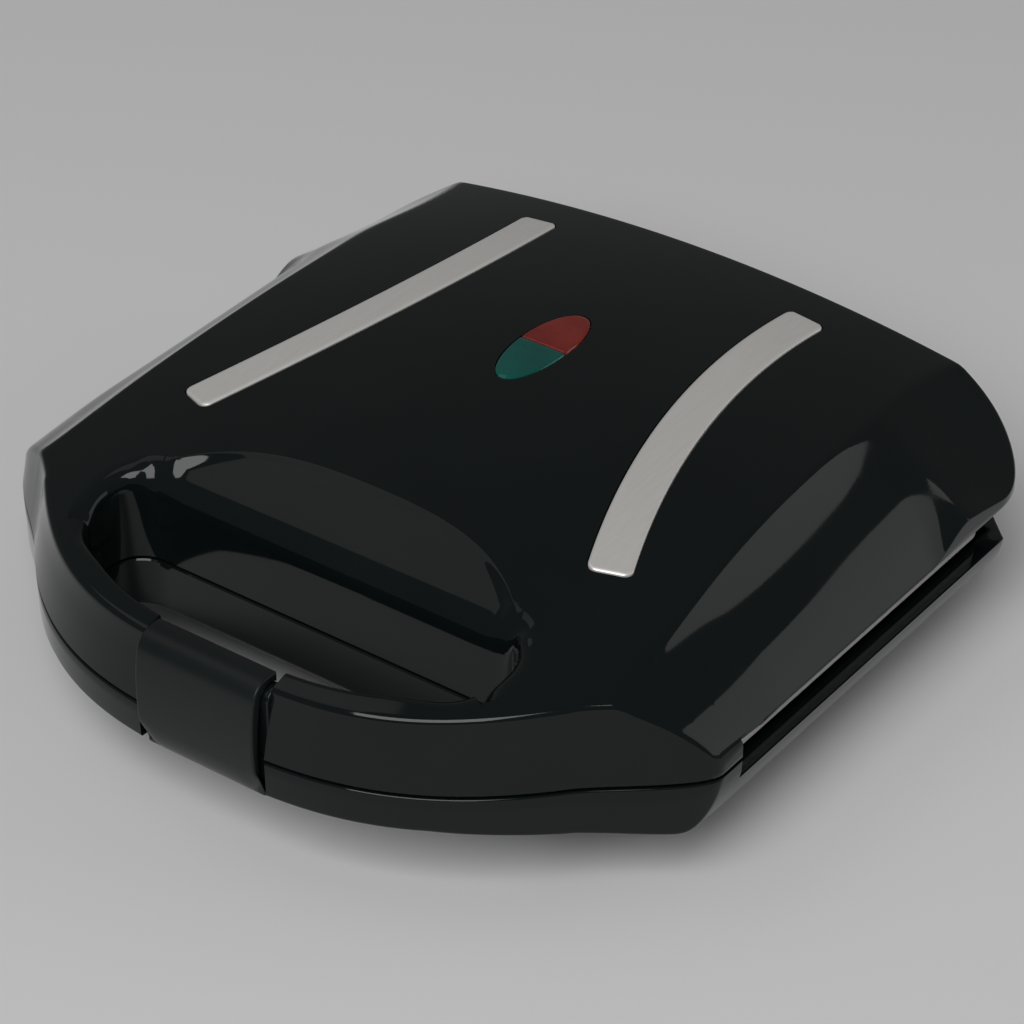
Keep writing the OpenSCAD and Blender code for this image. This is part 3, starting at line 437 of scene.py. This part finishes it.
def new_piece(name, points, faces, body, slot, material, sharp=SHARP_ANGLE):
    """A mesh piece from points in millimetres, smooth but for edges sharper than an angle in degrees."""
    mesh = bpy.data.meshes.new(name)
    places = np.asarray(points).reshape(-1, 3) * MM
    mesh.from_pydata(places.tolist(), [], [list(map(int, face)) for face in faces])
    mesh.materials.append(material)
    mesh.shade_smooth()
    mesh.set_sharp_from_angle(angle=math.radians(sharp))
    piece = bpy.data.objects.new(name, mesh)
    scene.collection.objects.link(piece)
    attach(piece, body)
    return piece


# ---- Base bowl ----
# One moulding: quarter-ellipse sides and back, a gentle underside below the handle, then a ramp to the
# floor. Its rim stands under the lid's at the front, and steps down behind the notch to bare the plates.
# The handle is open in the middle for the latch, and a round boss holds the cord's inlet at the back.
BASE_RIM = (PART_Z - 0.4, 30.0)
BOWL_DEPTH = 29
BOWL_FLAT_X, BOWL_FLAT_Y = 89.5, 84.6
RAMP_FRONT, RAMP_RISE, HANDLE_RISE = -62, 12.6, 5.2
BAY = 21.0
CORD_X, CORD_Z = 36, 21


def bowl_bottom(x, y):
    """Height of the base's underside: its floor, plus the eighth-power mean of the rise at the sides (a
    quarter ellipse), at the back (another) and at the front (a slope, then a cosine ramp)."""
    sides = BOWL_DEPTH * (1 - np.sqrt(1 - np.clip((abs(x) - BOWL_FLAT_X) / 28, 0, 1) ** 2))
    back = BOWL_DEPTH * (1 - np.sqrt(1 - np.clip((y - BOWL_FLAT_Y) / 25, 0, 1) ** 2))
    slope = RAMP_RISE + HANDLE_RISE * np.clip((RAMP_FRONT - y) / 43, 0, 1)
    ramp = RAMP_RISE / 2 * (1 + np.cos(np.pi * np.clip((y - RAMP_FRONT) / 29, 0, 1)))
    front = np.where(y < RAMP_FRONT, slope, ramp)
    return FOOT_Z + (sides ** 8 + back ** 8 + front ** 8) ** 0.125


def block(low, high):
    """Points and faces of a box, to cut with."""
    corners = np.stack(np.meshgrid(*zip(low, high), indexing="ij"), -1).reshape(-1, 3)
    return corners, [(0, 1, 3, 2), (4, 6, 7, 5), (0, 4, 5, 1), (2, 3, 7, 6), (0, 2, 6, 4), (1, 5, 7, 3)]


def joined(*parts):
    """Several sets of points and faces as one."""
    points, faces, count = [], [], 0
    for more, loops in parts:
        more = np.asarray(more).reshape(-1, 3)
        points.append(more)
        faces += [[int(i) + count for i in loop] for loop in loops]
        count += len(more)
    return np.vstack(points), faces


def cut(piece, points, faces):
    """Takes a closed mesh out of a piece, and sets its sharp edges again."""
    mesh = bpy.data.meshes.new("cutter")
    mesh.from_pydata((points * MM).tolist(), [], faces)
    cutter = bpy.data.objects.new("cutter", mesh)
    scene.collection.objects.link(cutter)
    modifier = piece.modifiers.new("cut", "BOOLEAN")
    modifier.operation = "DIFFERENCE"
    modifier.solver = "EXACT"
    modifier.object = cutter
    graph = bpy.context.evaluated_depsgraph_get()
    result = bpy.data.meshes.new_from_object(piece.evaluated_get(graph))
    piece.modifiers.clear()
    piece.data = result
    result.shade_smooth()
    result.set_sharp_from_angle(angle=math.radians(SHARP_ANGLE))
    bpy.data.objects.remove(cutter)


def turned_along_y(profile, x, z, steps=48):
    """A closed profile of (radius, y) turned about an axis along Y; the first and last points are discs."""
    turn = np.linspace(0, 2 * np.pi, steps, endpoint=False)
    radius, y = np.asarray(profile, float).T
    points = np.stack([x + radius[:, None] * np.cos(turn), np.broadcast_to(y[:, None], (len(y), steps)),
                       z + radius[:, None] * np.sin(turn)], -1)
    index = np.arange(len(y) * steps).reshape(len(y), steps)
    across = np.roll(index, -1, 1)
    quads = np.stack([index[:-1], index[1:], across[1:], across[:-1]], -1).reshape(-1, 4).tolist()
    return points.reshape(-1, 3), quads + [index[0].tolist(), index[-1, ::-1].tolist()]


base_corner = np.array([(HALF_WIDTH, 86.1), (94.0, BACK_Y)])
base_rings = moulded_skin(base_corner, bowl_bottom, -1, BASE_RIM, draft=(0.4, 0.5), fillet=(1.0, 1.0),
                          inner_fillet=lambda x, y: np.full_like(x, 1.5))
base_cover = new_piece("base_bowl", base_rings, ring_faces(*base_rings.shape[:2], -1), "base",
                       "body_plastic", gloss_black)
cut(base_cover, *block((-BAY, -130, 15), (BAY, -107.5, 45)))

boss_profile = [(4.2, 96.0), (8.6, 96.0), (8.6, 108.2), (8.3, 108.9), (7.6, 109.1), (4.2, 109.1),
                (4.2, 96.2)]
new_piece("cord_boss", *turned_along_y(boss_profile, CORD_X, CORD_Z), "base", "body_plastic", gloss_black)


# ---- Lid cover ----
# One moulding in the same gloss black plastic. A shallow crown falls over a crest to the rim, and a
# scoop behind the handle lets the fingers in. The front bar is open where the latch sits.
LID_RIM = (PART_Z + 0.4, 42.0)
CROWN_RADIUS, CROWN_Y = 530.0, 33
SIDE_FOOT = 43
SCOOP_Z, SCOOP_HALF, SCOOP_SLOPE = 72.2, 66, math.tan(math.radians(29))
BACK_RADIUS = 27


def crown(x, y):
    """Height of the lid's crown: a sphere whose top is over the lens."""
    return CROWN_Z - CROWN_RADIUS + np.sqrt(CROWN_RADIUS ** 2 - x ** 2 - (y - CROWN_Y) ** 2)


def band(x, y):
    """Height of the band beyond the crest: a straight slope that starts on the crown, of 48 degrees and
    only 34 at the back. The crest lies further out at the front and draws in towards the back."""
    crest = 88.5 - 0.035 * y - 0.03 * (y - np.sqrt(y ** 2 + 900)) - 5.5 * smooth(58, 98, y)
    return crown(crest, y) - (1.11 - 0.43 * smooth(36, 66, y)) * (abs(x) - crest)


def two_slopes(rim, steep, gentle, rise):
    """Height above the side's foot: a steep slope from the rim that turns into a gentler one."""
    return SIDE_FOOT + soft_min(steep * rim, gentle * rim + rise, 3)


def lid_side(x, y):
    """Height of the lid's side by its distance from the rim: a power curve in front, then two slopes that
    are steepest in the middle and flatten towards the back, with smooth steps from one to the next."""
    rim = np.maximum(HALF_WIDTH - abs(x), 0)
    front = soft_min(36.5 + 4.16 * rim ** 0.56, 47.9 + 0.5 * rim, 2)
    side = front + (two_slopes(rim, 1.35, 0.65, 4.3) - front) * smooth(-75, -25, y)
    side += (two_slopes(rim, 1.3, 0.7, 5.4) - side) * smooth(-46, 55, y)
    side += (two_slopes(rim, 0.95, 0.7, 1.4) - side) * smooth(50, 110, y)
    return side


def scoop(x, y):
    """Height of the scoop: a plane that falls 29 degrees towards the handle, and a steep bowl round it that
    starts on the crown at a curved back edge and at the two ends."""
    edge = NOTCH[1] - 6.7 * (abs(x) / 44) ** 3.3
    depth = soft_min(edge - y, 1.2 * (SCOOP_HALF - abs(x)), 9)
    return soft_max(SCOOP_Z + (y - NOTCH[1]) * SCOOP_SLOPE, crown(x, y) - 2.5 * depth, 5)


def lid_top(x, y):
    """Height of the lid: the higher of side and band, kept under the crown. Behind the middle of the finger
    opening the scoop is cut in. Every change from one surface to another is rounded."""
    body = soft_min(crown(x, y), soft_max(band(x, y), lid_side(x, y), 3), 0.8)
    return np.where(y > OPENING_CENTRE[1], soft_min(body, scoop(x, y), 2.2), body)


def lip_round(x, y):
    """Radius of the opening's upper edge: small in front, and wide at the scoop and at the two ends."""
    ends = smooth(46, 66, abs(x))
    return 1.7 + 5.0 * smooth(-76, -67, y) * (1 - ends) + 4.3 * ends


back_corner = arc((HALF_WIDTH - BACK_RADIUS, BACK_Y - BACK_RADIUS), BACK_RADIUS, 0, 90, 40)
lid_rings = moulded_skin(back_corner, lid_top, 1, LID_RIM, draft=(4.2, 1.0), fillet=(1.8, 1.6),
                         inner_fillet=lip_round)
lid_cover = new_piece("lid_cover", lid_rings, ring_faces(*lid_rings.shape[:2], 1), "lid", "body_plastic",
                      gloss_black)
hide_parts("lid_shell")
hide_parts("base_shell")


# ---- Metal strips ----
# Two curved strips of satin metal, pushed into shallow recesses of the lid so that a dark line shows
# round them. Their corners are rounded and their edges coined over.
STRIP_CENTRE = np.array([348.0, 80.0])
STRIP_RADIUS, STRIP_HALF, STRIP_CORNER = 302.0, 6.0, 2.5
STRIP_ARC = np.radians([177.6, 202.8])
STRIP_PROUD, STRIP_SUNK, RECESS_GAP, RECESS_DEPTH = 0.5, 0.9, 0.45, 1.0
COINED_WIDTH, COINED_DROP = 0.9, 0.42
ABOVE_LID = 95.0


def strip_plan(grow, along, across):
    """Plan of a strip: arc length and width make the grid, and near each end the width shrinks by a
    circle. The second result is each point's distance from the edge."""
    reach = STRIP_RADIUS * (STRIP_ARC[1] - STRIP_ARC[0]) / 2 + grow
    half, corner = STRIP_HALF + grow, STRIP_CORNER + grow
    s = np.sin(np.linspace(-np.pi / 2, np.pi / 2, along)) * reach
    end = np.clip(corner - (reach - abs(s)), 0, corner)
    width = half - corner + np.sqrt(corner ** 2 - end ** 2)
    v = np.sin(np.linspace(-np.pi / 2, np.pi / 2, across))
    turn = STRIP_ARC.mean() + s / STRIP_RADIUS
    radius = STRIP_RADIUS + v * width[:, None]
    plan = STRIP_CENTRE + radius[..., None] * np.stack([np.cos(turn), np.sin(turn)], -1)[:, None]
    edge = np.minimum(width[:, None] * (1 - abs(v)), (reach - abs(s))[:, None])
    return plan, edge


def boxed(grid, low):
    """A sheet on a grid, with walls down to a lower sheet under it."""
    rows, columns = grid.shape[:2]
    index = np.arange(rows * columns).reshape(rows, columns)
    under = lifted(grid[..., :2], low)
    top = np.stack([index[:-1, :-1], index[1:, :-1], index[1:, 1:], index[:-1, 1:]], -1).reshape(-1, 4)
    rim = np.concatenate([index[:-1, 0], index[-1, :-1], index[:0:-1, -1], index[0, :0:-1]])
    walls = np.stack([rim, rim + index.size, np.roll(rim, -1) + index.size, np.roll(rim, -1)], 1)
    faces = np.vstack([top, top[:, ::-1] + index.size, walls])
    points = np.vstack([grid.reshape(-1, 3), under.reshape(-1, 3)])
    a, b, c = (points[top[len(top) // 2, k]] for k in (0, 1, 2))
    return points, (faces if np.cross(b - a, c - b)[2] > 0 else faces[:, ::-1]).tolist()


def mirrored(points, faces):
    """The same part on the other side of the middle."""
    return points * np.array([-1, 1, 1]), [loop[::-1] for loop in faces]


satin_metal = finish("satin_metal", (0.76, 0.745, 0.715), (0.86, 0.845, 0.815), 0.36, 0.46, grain=1400,
                     depth=0.000004, surface=drawn_surface, by="Fine", Metallic=0.45)
plan, edge = strip_plan(0.0, 150, 19)
under_strip = crown(*np.moveaxis(plan, -1, 0))
coined = COINED_DROP * (1 - np.clip(edge / COINED_WIDTH, 0, 1)) ** 2
strip = boxed(lifted(plan, under_strip + STRIP_PROUD - coined), under_strip - STRIP_SUNK)
for side, part in (("right", strip), ("left", mirrored(*strip))):
    piece = new_piece("strip_" + side, *part, "lid", "strip_metal", satin_metal, sharp=50)
    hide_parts("trim_strip_" + side)
plan, edge = strip_plan(RECESS_GAP, 60, 5)
recess = boxed(lifted(plan, ABOVE_LID), crown(*np.moveaxis(plan, -1, 0)) - RECESS_DEPTH)


# ---- Indicator lens ----
# Two half ellipses of tinted clear plastic over the lamps: red behind, and green with fine ribs in front.
# They are clipped into a hole with a dark gap round it.
LENS_Y, LENS_X_REACH, LENS_Y_REACH = 30.0, 7.7, 19.4
LENS_PROUD, LENS_THICK, LENS_GAP, HALF_SPLIT = 0.58, 2.2, 0.4, 0.15
RIB_PITCH, RIB_HEIGHT = 0.9, 0.05


def lens_half(sign, rib):
    """Half of an ellipse in rows across; it is domed, it rolls down at its rim and at the split, and its
    ribs are a sine across."""
    turn = np.linspace(0.0, 1.55, 60)[:, None]
    across = np.sin(np.linspace(-np.pi / 2, np.pi / 2, 61))
    x = LENS_X_REACH * across * np.cos(turn)
    y = LENS_Y + sign * (HALF_SPLIT + (LENS_Y_REACH - HALF_SPLIT) * np.sin(turn))
    y = np.broadcast_to(y, x.shape)
    rho = np.sqrt((across * np.cos(turn)) ** 2 + np.sin(turn) ** 2)
    rim_roll = 0.6 * np.clip((rho - 0.9) / 0.1, 0, 1) ** 2
    split_roll = 0.35 * np.clip(1 - np.sin(turn) * LENS_Y_REACH / 0.7, 0, 1) ** 2
    ribs = rib * np.sin(x * 2 * np.pi / RIB_PITCH) * (rho < 0.88)
    z = crown(x, y) + LENS_PROUD - (rim_roll + split_roll) + ribs
    return lifted(np.stack([x, y], -1), z), crown(x, y) - LENS_THICK


def tinted(name, colour, deep):
    """Clear tinted plastic: light passes through it, and its tone deepens in slow patches."""
    return finish(name, colour, deep, 0.06, 0.14, grain=500, depth=0.000004, patch=60, IOR=1.49,
                  Transmission_Weight=0.55)


def prism(plan, low, high):
    """A closed outline, counter-clockwise from above, carried from one height to another."""
    count = len(plan)
    points = np.vstack([lifted(plan, low), lifted(plan, high)])
    walls = [[i, (i + 1) % count, (i + 1) % count + count, i + count] for i in range(count)]
    return points, [list(range(count))[::-1], list(range(count, 2 * count)), *walls]


red_tint = tinted("lens_red", (0.42, 0.045, 0.03), (0.30, 0.02, 0.015))
green_tint = tinted("lens_green", (0.006, 0.22, 0.185), (0.004, 0.15, 0.125))
red_lens = new_piece("red_lens", *boxed(*lens_half(1, 0.0)), "lid", "lens_red", red_tint)
green_lens = new_piece("green_lens", *boxed(*lens_half(-1, RIB_HEIGHT)), "lid", "lens_green", green_tint)
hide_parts("lens_red")
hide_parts("lens_green")

turn = np.radians(np.arange(0, 360, 5))
lens_rim = np.stack([(LENS_X_REACH + LENS_GAP) * np.cos(turn),
                     LENS_Y + (LENS_Y_REACH + LENS_GAP) * np.sin(turn)], -1)
cut(lid_cover, *joined(recess, mirrored(*recess), prism(lens_rim, 60.0, ABOVE_LID),
                       block((-BAY, -130, 30), (BAY, -107.5, ABOVE_LID))))


# ---- Hollow of both mouldings ----
# Both are open inside over the plates, so that the plates' pockets can sink into the bowl and the lid.
# The wall that stays is 2.8 mm thick, measured upright.
WALL = 2.8


def cavity(half, front, back, low, high):
    """A closed block over a rectangle of the plan, between a lower and an upper height function."""
    across, along = np.linspace(-half, half, 61), np.linspace(front, back, 41)
    plan = np.stack(np.meshgrid(across, along, indexing="ij"), -1)
    x, y = np.moveaxis(plan, -1, 0)
    return boxed(lifted(plan, high(x, y)), low(x, y))


cut(base_cover, *cavity(111.0, -47.5, 88.0, lambda x, y: bowl_bottom(x, y) + WALL,
                        lambda x, y: np.full_like(x, BASE_RIM[1] + 1)))
cut(lid_cover, *cavity(110.5, -47.0, 94.0, lambda x, y: np.full_like(x, LID_RIM[1] - 1),
                       lambda x, y: lid_top(x, y) - WALL))


# ---- Latch ----
# A satin black clip with a bulging front hangs from a steel pin in the bar that closes the lid's gap,
# and hooks under the bar that closes the base's gap. Both bars are gloss black plastic.
PIVOT = (-112.5, 52.5)
NECK_BACK, NECK_FRONT, NECK_HALF = -108.5, -116.5, 8.0
CLIP_HALF, HUB_HALF = 19.4, 7.4
CORNER_FROM, CORNER_RISE = 13.5, 4.6


def softened(points, radius, steps=5):
    """A closed polygon whose corners are quadratic curves that start a radius before them."""
    points = np.asarray(points, float)
    to_last = np.roll(points, 1, 0) - points
    to_next = np.roll(points, -1, 0) - points
    start = points + to_last * np.minimum(radius / np.hypot(*to_last.T), 0.45)[:, None]
    stop = points + to_next * np.minimum(radius / np.hypot(*to_next.T), 0.45)[:, None]
    return np.moveaxis(rounded(start, points, stop, steps), 0, 1).reshape(-1, 2)


def bar_along_x(profile, x0, x1, bevel=0.4, between=()):
    """A closed profile of (y, z) carried along X by way of more places, whose two ends are rounded over by
    a quarter circle."""
    ahead = np.roll(profile, -1, 0)
    if np.sum(profile[:, 0] * ahead[:, 1] - ahead[:, 0] * profile[:, 1]) < 0:
        profile = profile[::-1]
    step = np.roll(profile, -1, 0) - np.roll(profile, 1, 0)
    out = np.stack([step[:, 1], -step[:, 0]], 1) / np.hypot(*step.T)[:, None]
    turn = np.radians([0, 22, 45, 68, 90])
    x = np.concatenate([x0 + bevel * (1 - np.cos(turn)), between, (x1 - bevel * (1 - np.cos(turn)))[::-1]])
    inset = bevel * np.concatenate([1 - np.sin(turn), np.zeros(len(between)), (1 - np.sin(turn))[::-1]])
    rings = profile[None] - out[None] * inset[:, None, None]
    points = np.concatenate([np.broadcast_to(x[:, None, None], (*rings.shape[:2], 1)), rings], -1)
    index = np.arange(rings.shape[0] * rings.shape[1]).reshape(rings.shape[:2])
    across = np.roll(index, -1, 1)
    quads = np.stack([index[:-1], across[:-1], across[1:], index[1:]], -1).reshape(-1, 4).tolist()
    return points.reshape(-1, 3), quads + [index[0, ::-1].tolist(), index[-1].tolist()]


neck = np.vstack([[(NECK_BACK, LID_RIM[0]), (NECK_BACK, 44.0)], arc(PIVOT, 4, 0, 180, 17),
                  [(NECK_FRONT, 44.0), (NECK_FRONT, LID_RIM[0])]])
neck_low = softened([(NECK_BACK, LID_RIM[0]), (NECK_BACK, 47.9), (NECK_FRONT, 47.9),
                     (NECK_FRONT, LID_RIM[0])], 0.5)
neck_parts = joined(bar_along_x(neck, -BAY - 0.3, -NECK_HALF),
                    bar_along_x(neck_low, -NECK_HALF - 0.1, NECK_HALF + 0.1, 0.05),
                    bar_along_x(neck, NECK_HALF, BAY + 0.3))
new_piece("latch_neck", *neck_parts, "lid", "body_plastic", gloss_black)

satin_black = finish("satin_black", (0.0050, 0.0075, 0.0075), (0.0066, 0.0092, 0.0092), 0.30, 0.38,
                     grain=2600, depth=0.000012, Specular_IOR_Level=0.3)
clip_profile = np.vstack([
    bezier([(-110.0, 58.9), (-114.5, 59.6), (-118.6, 58.9), (-119.8, 53.5)], 14),
    bezier([(-119.8, 53.5), (-121.0, 46.6), (-121.0, 38.5), (-120.4, 32.0)], 20)[1:],
    bezier([(-120.4, 32.0), (-119.7, 27.0), (-117.8, 23.6), (-114.9, 22.3)], 16)[1:],
    bezier([(-111.2, 22.3), (-110.4, 22.4), (-110.4, 24.8), (-111.2, 24.9)], 7),
    bezier([(-115.9, 24.9), (-117.4, 24.9), (-118.3, 25.6), (-118.35, 27.5)], 8),
    bezier([(-118.4, 34.0), (-118.5, 42.0), (-118.0, 47.5), (-116.8, 52.5)], 12),
    arc(PIVOT, 4.3, 180, 55, 12)[1:], [(-109.9, 57.2)]])
apron_points, apron_faces = bar_along_x(clip_profile, -CLIP_HALF, CLIP_HALF, 0.5,
                                        np.linspace(-18.5, 18.5, 49))
# The lower corners of the clip's front rise by a power curve.
towards_side = np.clip((abs(apron_points[:, 0]) - CORNER_FROM) / (CLIP_HALF - CORNER_FROM), 0, 1) ** 2.4
towards_foot = np.clip((34 - apron_points[:, 2]) / 9, 0, 1) * (apron_points[:, 1] < -116.9)
apron_points[:, 2] += CORNER_RISE * towards_side * towards_foot
hub = arc(PIVOT, 3.6, -90, 270, 33)[:-1]
web = softened([(-110.3, 52.5), (-110.1, 57.6), (-117.0, 57.5), (-119.3, 53.5), (-115.5, 51.5)], 0.6)
clip_parts = joined((apron_points, apron_faces), bar_along_x(hub, -HUB_HALF, HUB_HALF),
                    bar_along_x(web, -HUB_HALF, HUB_HALF))
clip = new_piece("clip_cover", *clip_parts, "latch", "clip_plastic", satin_black)
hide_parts("latch_clip")

catch = softened([(-108.0, BASE_RIM[0]), (-116.5, BASE_RIM[0]), (-116.5, 28.4), (-113.5, 25.4),
                  (-108.0, 25.4)], 0.8)
new_piece("base_catch", *bar_along_x(catch, -BAY - 0.6, BAY + 0.6), "base", "body_plastic", gloss_black)


# ---- Hinge knuckles ----
# Barrels on arms that grow out of both mouldings, threaded on two steel pins, with one more pair in the
# middle that carries the lead from the base to the lid.
HINGE_Y = 115.5
barrel = arc((HINGE_Y, PART_Z), 5.5, 0, 360, 41)[:-1]
lid_arm = softened([(105.6, 40.0), (105.6, 49.0), (108.6, 49.0), (116.5, 40.7), (115.5, 36.5),
                    (109.0, 38.0)], 1.2)
base_arm = softened([(101.6, 24.0), (106.6, 24.0), (115.4, 31.0), (115.4, 36.0), (101.6, 36.0)], 1.2)
lid_spans = [(-74, -62), (62, 74), (0.2, 22)]
base_spans = [(-85.7, -74.3), (-61.7, -50.3), (50.3, 61.7), (74.3, 85.7), (-22, -0.2)]


def knuckles(name, body, spans, arm):
    """A barrel and an arm over each span of X, as one piece."""
    bars = joined(*(bar_along_x(profile, *span) for span in spans for profile in (barrel, arm)))
    new_piece(name, *bars, body, "body_plastic", gloss_black)


knuckles("lid_knuckles", "lid", lid_spans, lid_arm)
knuckles("base_knuckles", "base", base_spans, base_arm)


# ---- Other parts in their own finishes ----
# Feet, cord gland, plates, heaters, wiring and fixings keep their CAD shapes. The plates' non-stick
# coating stops short of their outer skirts, which stay bare aluminium.
SKIRT_FROM, SKIRT_FULL = 0.1100, 0.1106


def bare_skirts(material):
    """Turns a material's colour to bare metal where the distance from the middle passes the skirt's."""
    nodes, links = material.node_tree.nodes, material.node_tree.links
    shader = nodes["Principled BSDF"]
    coated = shader.inputs["Base Color"].links[0].from_socket
    place = nodes.new("ShaderNodeTexCoord")
    axes = nodes.new("ShaderNodeSeparateXYZ")
    links.new(place.outputs["Object"], axes.inputs["Vector"])
    outward = nodes.new("ShaderNodeMath")
    outward.operation = "ABSOLUTE"
    links.new(axes.outputs["X"], outward.inputs[0])
    bare = nodes.new("ShaderNodeMapRange")
    bare.inputs["From Min"].default_value = SKIRT_FROM
    bare.inputs["From Max"].default_value = SKIRT_FULL
    links.new(outward.outputs["Value"], bare.inputs["Value"])
    skirt = nodes.new("ShaderNodeMix")
    skirt.data_type = "RGBA"
    skirt.inputs["B"].default_value = (0.62, 0.61, 0.60, 1)
    links.new(bare.outputs["Result"], skirt.inputs["Factor"])
    links.new(coated, skirt.inputs["A"])
    links.new(skirt.outputs["Result"], shader.inputs["Base Color"])
    dull = nodes.new("ShaderNodeMath")
    dull.operation = "MULTIPLY"
    dull.inputs[1].default_value = 0.3
    links.new(bare.outputs["Result"], dull.inputs[0])
    links.new(dull.outputs["Value"], shader.inputs["Metallic"])


dress(finish("foot_rubber", (0.018, 0.018, 0.018), (0.035, 0.034, 0.033), 0.7, 0.9, grain=1500,
             depth=0.00004), "feet")
dress(finish("gland_plastic", (0.02, 0.02, 0.02), (0.032, 0.032, 0.032), 0.42, 0.6, grain=1800,
             depth=0.00002), "cord_gland", "cord_clamp")
dress(finish("sleeve_rubber", (0.02, 0.02, 0.02), (0.04, 0.04, 0.04), 0.6, 0.8, grain=900,
             depth=0.00003), "base_lead_sleeve", "lid_lead_sleeve")
dress(finish("wire_insulation", (0.42, 0.035, 0.02), (0.55, 0.07, 0.04), 0.4, 0.6, grain=800),
      "base_wiring", "lid_wiring")
plate_coating = finish("plate_coating", (0.028, 0.028, 0.030), (0.05, 0.05, 0.052), 0.34, 0.5, grain=1600,
                       depth=0.00003, by="Fine")
bare_skirts(plate_coating)
dress(plate_coating, "lower_cooking_plate", "upper_cooking_plate")
dress(finish("reflector_sheet", (0.62, 0.61, 0.59), (0.75, 0.74, 0.72), 0.2, 0.34, grain=900,
             depth=0.000005, surface=drawn_surface, Metallic=1.0), "lower_reflector", "upper_reflector")
dress(finish("insulator", (0.72, 0.67, 0.55), (0.8, 0.76, 0.66), 0.35, 0.55, grain=700, depth=0.00002),
      "terminal_block", "thermal_fuse", "lamp_holder", "thermostat")
dress(finish("heater_tube", (0.16, 0.14, 0.125), (0.30, 0.27, 0.23), 0.35, 0.55, grain=1100,
             depth=0.00001, Metallic=0.9), "upper_heater", "lower_heater")
dress(finish("lamp_glass", (0.9, 0.85, 0.75), (0.95, 0.9, 0.82), 0.02, 0.06, depth=0.000001, IOR=1.45,
             Transmission_Weight=0.9), "lamp_red", "lamp_green")
dress(finish("zinc_steel", (0.52, 0.52, 0.50), (0.66, 0.66, 0.64), 0.22, 0.4, grain=1300, depth=0.000006,
             Metallic=1.0),
      "cord_clamp_screws", "terminal_screws", "lower_plate_screws", "lower_heater_clamps",
      "lower_clamp_screws", "lower_reflector_screws", "fuse_clip", "hinge_pins", "strip_push_nuts",
      "lamp_screws", "upper_plate_screws", "upper_heater_clamps", "upper_clamp_screws",
      "upper_reflector_screws", "thermostat_bracket", "thermostat_screws", "latch_pin")
